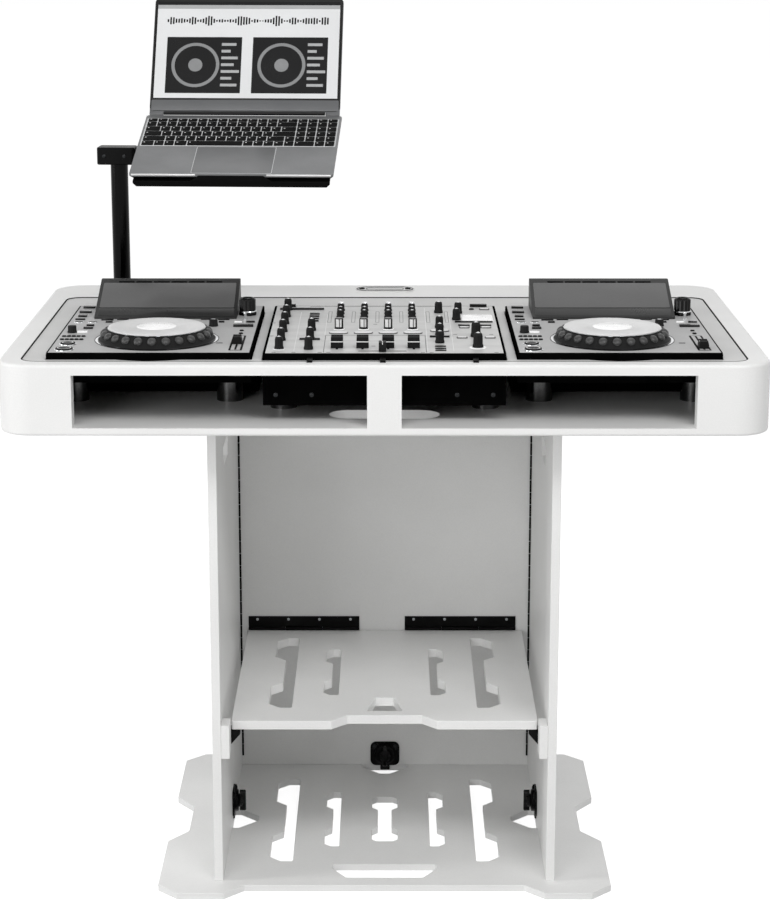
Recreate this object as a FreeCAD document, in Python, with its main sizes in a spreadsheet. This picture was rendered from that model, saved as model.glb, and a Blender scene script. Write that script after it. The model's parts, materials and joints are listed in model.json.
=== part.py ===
import FreeCAD, Part
import os
import Sketcher
from types import SimpleNamespace

# DJ booth: a shallow table on a folding pedestal, with two players and a mixer sunk in its deck
# and a laptop on a swivelling stand. +Z is up, -Y is the side the user stands on, and the origin
# is on the floor under the middle of the table. Lengths are in millimetres, angles in degrees.

SIZES = {
    # table: two boards with walls between them
    "table_height": 937,
    "table_thickness": 116,
    "table_corner_radius": 55,
    "table_edge_radius": 5,
    "table_top_board": 17,
    "table_bottom_board": 13,
    "table_wall": 30,
    "end_post_width": 122,
    "center_post_width": 55,
    "cable_hole_length": 181,
    "cable_hole_width": 65,
    "cable_hole_setback": 104,
    "cut_overrun": 20,
    # deck: the inset panel that the gear drops into
    "rim_front": 31,
    "rim_back": 139,
    "rim_side": 37.5,
    "deck_side_margin": 39,
    "deck_front_margin": 14,
    "deck_back_margin": 145,
    "deck_board": 6,
    "deck_sink": 1,
    "deck_gap": 2.2,
    "deck_ledge": 12,
    "deck_corner_radius": 26,
    "gear_fit": 1.5,
    "lift_notch_radius": 123,
    "lift_notch_depth": 13,
    # badge plate on the back rim
    "badge_length": 110,
    "badge_width": 50,
    "badge_thickness": 3,
    "badge_setback": 59,
    "badge_screw_radius": 4,
    "badge_screw_height": 1.6,
    "badge_screw_inset": 12,
    # pedestal boards
    "pedestal_width": 584,
    "panel_board": 15,
    "panel_setback": 106,
    "back_panel_setback": 98,
    "piano_knuckle_radius": 3,
    "piano_hinge_end_gap": 20,
    "hand_hole_length": 130,
    "hand_hole_height": 38,
    "hand_hole_slope": 18,
    "hand_hole_setback": 226,
    "hand_hole_drop": 103,
    # base plate
    "base_side_reach": 96,
    "base_depth": 660,
    "base_board": 12,
    "base_corner_cut": 35,
    "base_side_notch": 34,
    "base_side_notch_mouth": 208,
    "base_side_notch_floor": 116,
    "base_end_recess": 33,
    "base_end_recess_mouth": 546,
    "board_round": 4,
    "base_handle_mouth": 180,
    "base_handle_floor": 132,
    "base_handle_depth": 55,
    "base_handle_straight": 17,
    "base_handle_setback": 66,
    "base_bone_width": 47,
    "base_bone_neck": 25,
    "base_bone_length": 210,
    "base_bone_head": 52,
    "base_bone_corner": 9,
    "latch_slot_depth": 46,
    "latch_slot_mouth": 88,
    "latch_slot_floor": 20,
    "latch_slot_straight": 12,
    # slots cut in both the base plate and the shelf
    "big_slot_side_gap": 75,
    "big_slot_width": 41,
    "big_slot_neck": 21,
    "big_slot_length": 388,
    "big_slot_waist": 128,
    "big_slot_corner": 20,
    "slot_spacing": 53,
    "small_slot_width": 27,
    "small_slot_neck": 14,
    "small_slot_length": 256,
    "small_slot_waist": 90,
    "small_slot_corner": 12,
    # shelf
    "shelf_height": 287,
    "shelf_board": 16,
    "shelf_side_gap": 15,
    "shelf_setback": 43,
    "shelf_recess_mouth": 182,
    "shelf_recess_floor": 128,
    "shelf_recess_depth": 28,
    "shelf_slot_shift": 25,
    "shelf_handle_mouth": 62,
    "shelf_handle_floor": 32,
    "shelf_handle_depth": 68,
    "shelf_handle_setback": 51,
    # stop blocks and catches at the front of the shelf
    "stop_block_depth": 40,
    "stop_block_height": 59,
    "stop_block_rise": 6,
    "stop_block_fit": 0.6,
    "catch_reach": 30,
    "catch_drop": 34,
    "catch_toe": 8,
    "catch_width": 22,
    # butt hinges of the shelf
    "leaf_length": 212,
    "leaf_height": 24,
    "leaf_thickness": 2,
    "left_leaf_gap": 1,
    "right_leaf_gap": 12,
    "shelf_leaf_drop": 15,
    "knuckle_radius": 3.2,
    "knuckle_lift": 0.3,
    "knuckle_gap": 0.4,
    "hinge_pin_radius": 1.6,
    "hinge_pin_clearance": 0.05,
    "leaf_wall_clearance": 0.3,
    "hinge_screw_radius": 3.2,
    "hinge_screw_height": 1,
    # twist latches at the foot of the panels
    "latch_plate_width": 56,
    "latch_plate_height": 48,
    "latch_plate_thickness": 3,
    "latch_boss_radius": 20,
    "latch_boss_height": 7,
    "latch_tongue_width": 18,
    "latch_tongue_drop": 9,
    "latch_shaft_radius": 4,
    "latch_shaft_length": 6,
    "latch_shaft_clearance": 0.05,
    "latch_face_clearance": 0.3,
    "latch_hub_radius": 9,
    "latch_hub_height": 8,
    "latch_wing_length": 46,
    "latch_wing_width": 11,
    "latch_wing_waist": 7,
    "latch_wing_height": 10,
    "side_latch_height": 48,
    "back_latch_height": 36,
    # laptop stand
    "pole_inset": 130,
    "pole_setback": 80,
    "pole_radius": 16,
    "pole_height": 239,
    "flange_radius": 38,
    "flange_thickness": 6,
    "spigot_radius": 10,
    "spigot_height": 22,
    "spigot_clearance": 0.05,
    "swivel_gap": 0.4,
    "arm_head_left": 38,
    "arm_head_right": 32,
    "arm_head_depth": 44,
    "arm_head_height": 32,
    "arm_head_round": 6,
    "arm_radius": 14,
    "arm_reach": 266,
    "tray_center": 237,
    "clamp_radius": 22,
    "clamp_width": 50,
    "clamp_clearance": 0.05,
    "tray_rise": 70.8,
    "bracket_web": 16,
    "bracket_back": 14,
    "bracket_flange_width": 90,
    "bracket_flange_reach": 150,
    "bracket_flange_thickness": 5,
    "clamp_bolt_radius": 5,
    "clamp_bolt_length": 14,
    "tray_width": 344,
    "tray_thickness": 2,
    "tray_tail": 40,
    "tray_apron": 9,
    "tray_apron_corner": 6,
    "tray_lip_thickness": 2,
    "tray_tab_bottom": 142,
    "tray_tab_top": 112,
    "tray_tab_rise": 10.5,
    # laptop
    "laptop_width": 356,
    "laptop_depth": 236,
    "laptop_base_height": 12.5,
    "laptop_front_reach": 244.5,
    "laptop_corner_radius": 9,
    "lid_width": 348,
    "lid_height": 226,
    "lid_thickness": 6,
    "lid_heel": 4,
    "lid_lift": 2,
    "lid_barrel_radius": 3.4,
    "lid_barrel_length": 250,
    "lid_barrel_gap": 0.4,
    "screen_side_border": 6,
    "screen_top_border": 8,
    "screen_bottom_border": 26,
    "screen_proud": 0.6,
    "key_field_width": 338,
    "key_field_depth": 104,
    "key_field_setback": 22,
    "key_gap": 2.6,
    "key_height": 1,
    "trackpad_width": 140,
    "trackpad_depth": 88,
    "trackpad_setback": 6,
    "trackpad_height": 0.4,
    # gear common to the players and the mixer
    "gear_depth": 435,
    "gear_spacing": 19,
    "gear_rise": 10,
    "faceplate": 2,
    "button_travel_room": 5,
    "button_fit": 0.5,
    # players
    "player_width": 329,
    "player_front_height": 47,
    "player_front_depth": 196,
    "player_foot_radius": 22.5,
    "player_rear_foot_height": 8,
    "player_inner_foot_offset": 119,
    "player_outer_foot_offset": 141,
    "player_foot_setback": 171,
    "player_rear_foot_setback": 46,
    "jog_radius": 104,
    "jog_front_gap": 13,
    "jog_shift": 3,
    "jog_skirt_height": 5,
    "jog_top_radius": 82,
    "jog_height": 21,
    "jog_gap": 0.4,
    "jog_dish_radius": 34,
    "jog_dish_rise": 0.8,
    "screen_width": 246,
    "screen_setback": 302,
    "screen_depth": 120,
    "screen_rise": 50,
    "screen_toe": 3,
    "screen_crest": 12,
    "tempo_slot_length": 119,
    "tempo_slot_width": 4,
    "tempo_cap_width": 16,
    "tempo_cap_depth": 22,
    "tempo_cap_height": 13,
    "cap_gap": 0.4,
    "browse_knob_radius": 14.5,
    "browse_knob_height": 30,
    "browse_skirt_radius": 15.5,
    "browse_skirt_height": 6,
    "browse_gap": 1.5,
    "cue_button_radius": 12,
    "play_button_radius": 14,
    "button_rise": 3.5,
    "button_depth": 3,
    "bar_button_length": 15,
    "bar_button_width": 6,
    "bar_button_height": 2.6,
    "dot_button_radius": 3.8,
    "dot_button_height": 2,
    "dot_button_pitch": 9.5,
    "small_knob_radius": 7,
    "small_knob_height": 11,
    # mixer
    "mixer_width": 391,
    "mixer_nose": 6,
    "mixer_foot_radius": 22,
    "mixer_foot_height": 28,
    "mixer_foot_inset": 28,
    "mixer_foot_setback": 119,
    "channel_pitch": 41.5,
    "channel_start": 77,
    "eq_knob_radius": 7,
    "eq_knob_top_radius": 5.6,
    "eq_knob_height": 13,
    "color_knob_radius": 8,
    "color_knob_height": 17,
    "fader_cap_width": 20,
    "fader_cap_depth": 22,
    "fader_cap_height": 19,
    "fader_slot_length": 118,
    "fader_slot_width": 4,
    "cross_cap_width": 12,
    "cross_cap_depth": 20,
    "cross_cap_height": 16,
    "mixer_button_length": 15,
    "mixer_button_width": 11,
    "mixer_button_height": 2.4,
    "display_width": 54,
    "display_depth": 60,
    "display_height": 2,
    "level_knob_radius": 11,
    "level_knob_height": 22,
}

ANGLES = {
    "arm_yaw": 3,
    "tray_tilt": 20,
    "lid_lean": 41,
}

# Places on a faceplate, as shares of its width from the middle and of its depth from the front.
PLAYER_BAR_SHARES = ((-0.44, 0.947), (-0.44, 0.832), (-0.44, 0.733),
                     (-0.372, 0.522), (-0.388, 0.422))
PLAYER_OVAL_SHARES = ((-0.444, 0.620), (-0.371, 0.620))
PLAYER_SCREEN_BAR_SHARES = ((-0.30, 0.655), (-0.21, 0.655), (0.25, 0.655), (0.35, 0.655))
PLAYER_DOT_SHARES = ((-0.417, 0.316), (-0.417, 0.256))
PLAYER_KNOB_SHARES = ((-0.447, 0.437), (0.262, 0.572))
TEMPO_SHARES = (0.419, 0.192)
BROWSE_ROW_SHARE = 0.791
CUE_SHARES = (-0.421, 0.168)
PLAY_SHARES = (-0.421, 0.062)
EQ_ROW_SHARES = (0.884, 0.810, 0.735)
COLOR_ROW_SHARE = 0.481
CUE_ROW_SHARE = 0.399
CUE_PAD_SHIFT_SHARE = 0.6
FADER_ROW_SHARE = 0.210
CROSSFADER_SHARES = (-0.008, 0.045)
MIC_KNOB_SHARES = ((-0.435, 0.90), (-0.435, 0.748), (-0.435, 0.594),
                   (-0.432, 0.43), (-0.432, 0.255), (-0.432, 0.085))
SEND_KNOB_SHARES = ((-0.314, 0.455), (-0.314, 0.268), (-0.314, 0.082))
MASTER_KNOB_SHARES = ((0.241, 0.84), (0.237, 0.517), (0.235, 0.363),
                      (0.232, 0.209), (0.328, 0.828), (0.316, 0.685))
LEVEL_KNOB_SHARES = ((0.388, 0.33), (0.388, 0.113))
MIXER_BAR_SHARES = ((-0.314, 0.80), (-0.314, 0.75), (-0.314, 0.70),
                    (-0.314, 0.65), (0.233, 0.13), (0.233, 0.09))
MIXER_PAD_SHARES = ((0.344, 0.54), (0.442, 0.54), (0.331, 0.31),
                    (0.445, 0.31), (0.424, 0.93))
DISPLAY_SHARES = (0.408, 0.705)
# Where a fader's cap rests, as a share of its slot's length from the slot's middle.
TEMPO_REST_SHARES = {"left": -0.03, "right": -0.35}
FADER_REST_SHARE = -0.335

QUARTER_TURN = 90
FULL_TURN = 360
SIDES = (("left", -1), ("right", 1))
CHANNELS = range(4)
HINGE_SCREW_SHARES = (0.08, 0.36, 0.64, 0.92)
# Key widths in each row, as shares of the width of a plain key.
KEY_ROW_SHARES = (
    (1,) * 19,
    (1,) * 13 + (2, 1, 1, 1, 1),
    (1.5,) + (1,) * 12 + (1.5, 1, 1, 1, 1),
    (1.75,) + (1,) * 11 + (2.25, 1, 1, 1, 1),
    (2.25,) + (1,) * 10 + (1.75, 1, 1, 1, 1, 1),
    (1.25, 1.25, 1.25, 6.25, 1.25, 1.25, 1.25, 1.25, 1, 1, 1, 1),
)
KEYS_ACROSS = 19


class Size:
    """A number and the sheet formula that gives it, so what is bound to it follows the cells."""

    def __init__(self, value, formula):
        self.value = value
        self.formula = formula

    def combine(self, other, value, sign):
        return Size(value, "(%s %s %s)" % (self.formula, sign, formula_of(other)))

    def __add__(self, other):
        return self.combine(other, self.value + value_of(other), "+")

    def __sub__(self, other):
        return self.combine(other, self.value - value_of(other), "-")

    def __mul__(self, other):
        return self.combine(other, self.value * value_of(other), "*")

    def __truediv__(self, other):
        return self.combine(other, self.value / value_of(other), "/")

    def __neg__(self):
        return Size(-self.value, "(-1 * %s)" % self.formula)

    __rmul__ = __mul__


def value_of(size):
    return size.value if isinstance(size, Size) else float(size)


def formula_of(size):
    return size.formula if isinstance(size, Size) else repr(size)


def sine(angle):
    turn = FreeCAD.Rotation(FreeCAD.Vector(0, 0, 1), angle.value)
    return Size(turn.multVec(FreeCAD.Vector(1, 0, 0)).y, "sin(%s)" % angle.formula)


def cosine(angle):
    turn = FreeCAD.Rotation(FreeCAD.Vector(0, 0, 1), angle.value)
    return Size(turn.multVec(FreeCAD.Vector(1, 0, 0)).x, "cos(%s)" % angle.formula)


def fill_sheet(document, values):
    """Write each driving dimension to a cell of its own and return them as named sizes."""
    sheet = document.addObject("Spreadsheet::Sheet", "Sizes")
    named = {}
    for row, (alias, number) in enumerate(values.items(), start=1):
        sheet.set("A%d" % row, alias)
        sheet.set("B%d" % row, str(number))
        sheet.setAlias("B%d" % row, alias)
        named[alias] = Size(float(number), "Sizes." + alias)
    document.recompute()
    return SimpleNamespace(**named)


doc = FreeCAD.newDocument("dj_booth")
s = fill_sheet(doc, {**SIZES, **ANGLES})
parts = []


def keep(label, feature):
    """Name a finished sub-part and put it on the list that is written out."""
    feature.Label = label
    parts.append(feature)
    return feature


def bind(feature, name, size):
    if isinstance(size, Size):
        feature.setExpression(name, size.formula)
    else:
        setattr(feature, name, size)


def place(feature, at, yaw=0, pitch=0, roll=0):
    """Put a feature at a point, turned by roll about X, then pitch about Y, then yaw about Z."""
    spot = "; ".join(formula_of(size) for size in at)
    turn = "; ".join(formula_of(size) for size in (yaw, pitch, roll))
    feature.setExpression("Placement", "placement(vector(%s); rotation(%s))" % (spot, turn))
    return feature


def box(name, low, span):
    feature = doc.addObject("Part::Box", name)
    for side, size in zip(("Length", "Width", "Height"), span):
        bind(feature, side, size)
    return place(feature, low)


def rod(name, at, radius, length, axis="z"):
    """A cylinder that starts at a point and runs along +X, +Y or +Z."""
    feature = doc.addObject("Part::Cylinder", name)
    bind(feature, "Radius", radius)
    bind(feature, "Height", length)
    pitch = QUARTER_TURN if axis == "x" else 0
    roll = -QUARTER_TURN if axis == "y" else 0
    return place(feature, at, pitch=pitch, roll=roll)


def cone(name, at, radius, top_radius, height):
    feature = doc.addObject("Part::Cone", name)
    bind(feature, "Radius1", radius)
    bind(feature, "Radius2", top_radius)
    bind(feature, "Height", height)
    return place(feature, at)


def fuse(name, features):
    feature = doc.addObject("Part::MultiFuse", name)
    feature.Shapes = features
    feature.Refine = True
    return feature


def cut(name, blank, tools):
    feature = doc.addObject("Part::Cut", name)
    feature.Base = blank
    feature.Tool = tools[0] if len(tools) == 1 else fuse(name + "_tools", tools)
    return feature


def common(name, first, second):
    feature = doc.addObject("Part::Common", name)
    feature.Base = first
    feature.Tool = second
    return feature


def group(name, features):
    feature = doc.addObject("Part::Compound", name)
    feature.Links = features
    return feature


def add_loop(sketch, points):
    """Draw a closed outline whose corners are held at their places by bound distances."""
    corners = [FreeCAD.Vector(value_of(x), value_of(y), 0) for x, y in points]
    sides = [Part.LineSegment(a, b) for a, b in zip(corners, corners[1:] + corners[:1])]
    lines = sketch.addGeometry(sides, False)
    for line, following in zip(lines, lines[1:] + lines[:1]):
        sketch.addConstraint(Sketcher.Constraint("Coincident", line, 2, following, 1))
    for line, (x, y) in zip(lines, points):
        for kind, size, axis in (("DistanceX", x, -2), ("DistanceY", y, -1)):
            if isinstance(size, Size):
                held = Sketcher.Constraint(kind, -1, 1, line, 1, size.value)
                number = sketch.addConstraint(held)
                sketch.setExpression("Constraints[%d]" % number, size.formula)
            else:
                sketch.addConstraint(Sketcher.Constraint("PointOnObject", line, 1, axis))


def sketch_on(body, role, loops):
    sketch = body.newObject("Sketcher::SketchObject", body.Name + "_sketch")
    plane = [item for item in body.Origin.OriginFeatures if item.Role == role]
    sketch.AttachmentSupport = [(plane[0], "")]
    sketch.MapMode = "FlatFace"
    for points in loops:
        add_loop(sketch, points)
    return sketch


def slab(name, role, loops, thickness, at=(0, 0, 0)):
    """A board: the first outline is its edge, the others are holes through it."""
    body = doc.addObject("PartDesign::Body", name)
    pad = body.newObject("PartDesign::Pad", name + "_pad")
    pad.Profile = sketch_on(body, role, loops)
    bind(pad, "Length", thickness)
    place(body, at)
    return body


def turned(name, profile, at):
    """A round piece from half of its section, given as radius and height."""
    body = doc.addObject("PartDesign::Body", name)
    sketch = sketch_on(body, "XZ_Plane", [profile])
    turning = body.newObject("PartDesign::Revolution", name + "_turning")
    turning.Profile = sketch
    turning.ReferenceAxis = (sketch, ["V_Axis"])
    turning.Angle = FULL_TURN
    return place(body, at)


def is_upright(edge):
    low, high = edge.BoundBox.ZMin, edge.BoundBox.ZMax
    return high - low > edge.Length / 2


def round_edges(body, radius, wanted):
    """Fillet the edges of a board that the test picks."""
    doc.recompute()
    blank = body.Tip
    edges = enumerate(blank.Shape.Edges, start=1)
    names = ["Edge%d" % number for number, edge in edges if wanted(edge)]
    fillet = body.newObject("PartDesign::Fillet", body.Name + "_round")
    fillet.Base = (blank, names)
    bind(fillet, "Radius", radius)
    body.Tip = fillet
    return body


def rectangle(left, front, width, depth):
    right = left + width
    back = front + depth
    return [(left, front), (right, front), (right, back), (left, back)]


def mirrored_x(points):
    return [(-x, y) for x, y in reversed(points)]


def mirrored_y(points):
    return [(x, -y) for x, y in reversed(points)]


def rounded_block(name, width, depth, height, radius, bottom):
    """A block centred on the origin with rounded upright corners."""
    outline = rectangle(-width / 2, -depth / 2, width, depth)
    body = slab(name, "XY_Plane", [outline], height, (0, 0, bottom))
    return round_edges(body, radius, is_upright)


# Sizes that follow from what the table has to hold.
mixer_depth = s.gear_depth + s.mixer_nose
player_offset = s.mixer_width / 2 + s.gear_spacing + s.player_width / 2
deck_width = (player_offset + s.player_width / 2 + s.deck_side_margin) * 2
deck_depth = s.deck_front_margin + mixer_depth + s.deck_back_margin
table_width = deck_width + s.rim_side * 2
table_depth = s.rim_front + deck_depth + s.rim_back
base_width = s.pedestal_width + s.base_side_reach * 2

# Levels and lines that several pieces share.
table_bottom_z = s.table_height - s.table_thickness
compartment_floor = table_bottom_z + s.table_bottom_board
compartment_top = s.table_height - s.table_top_board
compartment_height = compartment_top - compartment_floor
table_front = -table_depth / 2
table_back = table_depth / 2
panel_front = table_front + s.panel_setback
back_panel_back = table_back - s.back_panel_setback
back_panel_front = back_panel_back - s.panel_board
panel_inner = s.pedestal_width / 2 - s.panel_board
panel_height = table_bottom_z - s.base_board
gear_top = s.table_height + s.gear_rise
case_top = gear_top - s.faceplate
deck_top = s.table_height - s.deck_sink
deck_front = table_front + s.rim_front
mixer_front = deck_front + s.deck_front_margin
player_front = mixer_front + s.mixer_nose
gear_back = player_front + s.gear_depth
shelf_bottom = s.shelf_height - s.shelf_board
hinge_axis_y = back_panel_front - s.knuckle_radius
hinge_axis_z = s.shelf_height + s.knuckle_radius + s.knuckle_lift
shelf_back = back_panel_front - s.leaf_wall_clearance - s.leaf_thickness
shelf_front = panel_front + s.shelf_setback
shelf_half = panel_inner - s.shelf_side_gap


def table_boards():
    """Top board with the deck's rebate, bottom board with the cable hole, and the walls between."""
    top = rounded_block("top_blank", table_width, table_depth, s.table_top_board,
                        s.table_corner_radius, compartment_top)
    round_edges(top, s.table_edge_radius,
                lambda edge: edge.BoundBox.ZMin > s.table_top_board.value - s.table_edge_radius.value / 2)
    rebate_low = deck_top - s.deck_board
    rebate_size = (deck_width + s.deck_gap * 2, deck_depth + s.deck_gap * 2)
    rebate = slab("deck_rebate", "XY_Plane",
                  [rectangle(-rebate_size[0] / 2, deck_front - s.deck_gap, *rebate_size)],
                  s.deck_board + s.deck_sink + s.cut_overrun, (0, 0, rebate_low))
    round_edges(rebate, s.deck_corner_radius + s.deck_gap, is_upright)
    window = slab("deck_window", "XY_Plane",
                  [rectangle(-deck_width / 2 + s.deck_ledge, deck_front + s.deck_ledge,
                             deck_width - s.deck_ledge * 2, deck_depth - s.deck_ledge * 2)],
                  s.table_top_board + s.cut_overrun * 2, (0, 0, compartment_top - s.cut_overrun))
    round_edges(window, s.deck_corner_radius - s.deck_ledge, is_upright)
    keep("table_top", cut("table_top", top, [rebate, window]))

    bottom = rounded_block("bottom_blank", table_width, table_depth, s.table_bottom_board,
                           s.table_corner_radius, table_bottom_z)
    round_edges(bottom, s.table_edge_radius,
                lambda edge: edge.BoundBox.ZMax < s.table_edge_radius.value / 2)
    hole_y = table_front + s.cable_hole_setback
    hole_low = table_bottom_z - s.cut_overrun
    hole_span = s.table_bottom_board + s.cut_overrun * 2
    hole_flat = s.cable_hole_length - s.cable_hole_width
    hole_radius = s.cable_hole_width / 2
    hole = [box("hole_middle", (-hole_flat / 2, hole_y - hole_radius, hole_low),
                (hole_flat, s.cable_hole_width, hole_span))]
    for side, sign in SIDES:
        spot = (hole_flat / 2 * sign, hole_y, hole_low)
        hole.append(rod("hole_end_" + side, spot, hole_radius, hole_span))
    keep("table_bottom", cut("table_bottom", bottom, hole))

    outer = rounded_block("wall_outer", table_width, table_depth, compartment_height,
                          s.table_corner_radius, compartment_floor)
    post_width = s.end_post_width - s.table_wall
    starts = {"left": (-table_width / 2, -table_width / 2 + s.table_wall),
              "right": (table_width / 2 - s.table_wall, table_width / 2 - s.end_post_width)}
    for side, (board_x, post_x) in starts.items():
        zones = {"board": (board_x, table_front, s.table_wall, table_depth),
                 "front_post": (post_x, table_front, post_width, s.table_wall),
                 "back_post": (post_x, table_back - s.table_wall, post_width, s.table_wall)}
        boards = []
        for board, (x, y, width, depth) in zones.items():
            zone = box("%s_%s_zone" % (side, board), (x, y, compartment_floor),
                       (width, depth, compartment_height))
            boards.append(common("%s_end_%s" % (side, board), outer, zone))
        keep("table_%s_end" % side, group("table_%s_end" % side, boards))
    wall_width = table_width - s.end_post_width * 2
    wall_low = (-wall_width / 2, table_back - s.table_wall, compartment_floor)
    keep("table_back_wall", box("table_back_wall", wall_low, (wall_width, s.table_wall, compartment_height)))
    post_low = (-s.center_post_width / 2, table_front, compartment_floor)
    post_span = (s.center_post_width, s.table_wall, compartment_height)
    keep("table_center_post", box("table_center_post", post_low, post_span))


def deck():
    """Inset panel with a cut-out for each machine and a finger notch in front of each player."""
    outline = rectangle(-deck_width / 2, deck_front, deck_width, deck_depth)
    fit = s.gear_fit
    cutouts = [rectangle(-s.mixer_width / 2 - fit, mixer_front - fit,
                         s.mixer_width + fit * 2, mixer_depth + fit * 2)]
    for side, sign in SIDES:
        left = player_offset * sign - s.player_width / 2 - fit
        span = (s.player_width + fit * 2, s.gear_depth + fit * 2)
        cutouts.append(rectangle(left, player_front - fit, *span))
    board_low = deck_top - s.deck_board
    board = slab("deck_board", "XY_Plane", [outline] + cutouts, s.deck_board, (0, 0, board_low))
    side_edge = deck_width.value / 2 - fit.value
    round_edges(board, s.deck_corner_radius,
                lambda edge: is_upright(edge) and abs(edge.BoundBox.XMax) > side_edge)
    notches = []
    for side, sign in SIDES:
        spot = (player_offset * sign, player_front - s.lift_notch_depth + s.lift_notch_radius,
                board_low - s.cut_overrun)
        span = s.deck_board + s.cut_overrun * 2
        notches.append(rod("lift_notch_" + side, spot, s.lift_notch_radius, span))
    keep("deck_plate", cut("deck_plate", board, notches))


def badge():
    """Bare plate with round ends on the back rim, held by a screw at each end."""
    center_y = table_back - s.badge_setback
    radius = s.badge_width / 2
    flat = s.badge_length - s.badge_width
    pieces = [box("badge_middle", (-flat / 2, center_y - radius, s.table_height),
                  (flat, s.badge_width, s.badge_thickness))]
    screws = []
    for side, sign in SIDES:
        pieces.append(rod("badge_end_" + side, (flat / 2 * sign, center_y, s.table_height),
                          radius, s.badge_thickness))
        screw_x = (s.badge_length / 2 - s.badge_screw_inset) * sign
        spot = (screw_x, center_y, s.table_height + s.badge_thickness)
        screws.append(rod("badge_screw_" + side, spot, s.badge_screw_radius, s.badge_screw_height))
    keep("badge_plate", fuse("badge_plate", pieces))
    return screws


def waisted_slot(inner, width, neck, length, waist, corner, center_y):
    """Outline of a slot right of the middle: straight inside, drawn in at the waist outside."""
    outer = inner + width
    shoulder = width - neck
    upper = [(inner + neck, waist / 2), (outer, waist / 2 + shoulder), (outer, length / 2 - corner),
             (outer - corner, length / 2), (inner, length / 2)]
    return [(x, y + center_y) for x, y in mirrored_y(upper) + upper]


def slot_pairs(center_y):
    """The two long and two short slots that the base and the shelf have in common."""
    big_inner = panel_inner - s.big_slot_side_gap - s.big_slot_width
    small_inner = big_inner - s.slot_spacing - s.small_slot_width
    right = [waisted_slot(big_inner, s.big_slot_width, s.big_slot_neck, s.big_slot_length,
                          s.big_slot_waist, s.big_slot_corner, center_y),
             waisted_slot(small_inner, s.small_slot_width, s.small_slot_neck, s.small_slot_length,
                          s.small_slot_waist, s.small_slot_corner, center_y)]
    return right + [mirrored_x(slot) for slot in right]


def base():
    """Floor plate with cut corners, notched sides and slots."""
    half_x = base_width / 2
    half_y = s.base_depth / 2
    corner = s.base_corner_cut
    quarter = [(half_x - s.base_side_notch, s.base_side_notch_floor / 2),
               (half_x, s.base_side_notch_mouth / 2),
               (half_x, half_y - corner),
               (half_x - corner, half_y),
               (s.base_end_recess_mouth / 2, half_y),
               (s.base_end_recess_mouth / 2 - s.base_end_recess, half_y - s.base_end_recess)]
    back = quarter + mirrored_x(quarter)
    outline = back + mirrored_y(back)

    handle_back = -half_y + s.base_handle_setback + s.base_handle_depth
    handle_right = [(s.base_handle_floor / 2, handle_back - s.base_handle_depth),
                    (s.base_handle_mouth / 2, handle_back - s.base_handle_straight),
                    (s.base_handle_mouth / 2, handle_back)]
    handle = handle_right + mirrored_x(handle_right)

    bone_half = s.base_bone_length / 2
    bone_shoulder = (s.base_bone_width - s.base_bone_neck) / 2
    bone_quarter = [(s.base_bone_neck / 2, bone_half - s.base_bone_head - bone_shoulder),
                    (s.base_bone_width / 2, bone_half - s.base_bone_head),
                    (s.base_bone_width / 2, bone_half - s.base_bone_corner),
                    (s.base_bone_width / 2 - s.base_bone_corner, bone_half)]
    bone_back = bone_quarter + mirrored_x(bone_quarter)
    bone = bone_back + mirrored_y(bone_back)

    mouth = s.latch_slot_mouth / 2
    back_half = [(s.latch_slot_floor / 2, back_panel_front - s.latch_slot_depth),
                 (mouth, back_panel_front - s.latch_slot_straight),
                 (mouth, back_panel_front)]
    back_slot = back_half + mirrored_x(back_half)
    side_half = [(panel_inner, mouth),
                 (panel_inner - s.latch_slot_straight, mouth),
                 (panel_inner - s.latch_slot_depth, s.latch_slot_floor / 2)]
    right_slot = side_half + mirrored_y(side_half)

    holes = slot_pairs(0) + [handle, bone, back_slot, right_slot, mirrored_x(right_slot)]
    board = slab("base_board", "XY_Plane", [outline] + holes, s.base_board)
    keep("base_plate", round_edges(board, s.board_round, is_upright))


def pedestal_panels():
    """Back board and the two side boards, which fold on piano hinges in the inner corners."""
    keep("back_panel", box("back_panel", (-s.pedestal_width / 2, back_panel_front, s.base_board),
                           (s.pedestal_width, s.panel_board, panel_height)))
    hole_low = table_bottom_z - s.hand_hole_drop - s.hand_hole_height / 2
    hole_high = hole_low + s.hand_hole_height
    hole_front = panel_front + s.hand_hole_setback - s.hand_hole_length / 2
    hole_back = hole_front + s.hand_hole_length
    hand_hole = [(hole_front + s.hand_hole_slope, hole_low), (hole_back - s.hand_hole_slope, hole_low),
                 (hole_back, hole_high), (hole_front, hole_high)]
    outline = rectangle(panel_front, s.base_board, back_panel_front - panel_front, panel_height)
    hinges = []
    for side, sign in SIDES:
        outer_x = s.pedestal_width / 2 * sign
        start = outer_x if sign < 0 else panel_inner
        keep(side + "_side_panel", slab(side + "_side_panel", "YZ_Plane", [outline, hand_hole],
                                        s.panel_board, (start, 0, 0)))
        spot = ((panel_inner - s.piano_knuckle_radius) * sign, back_panel_front - s.piano_knuckle_radius,
                s.base_board + s.piano_hinge_end_gap)
        hinges.append(rod(side + "_knuckles", spot, s.piano_knuckle_radius,
                          panel_height - s.piano_hinge_end_gap * 2))
    keep("piano_hinges", group("piano_hinges", hinges))


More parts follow.
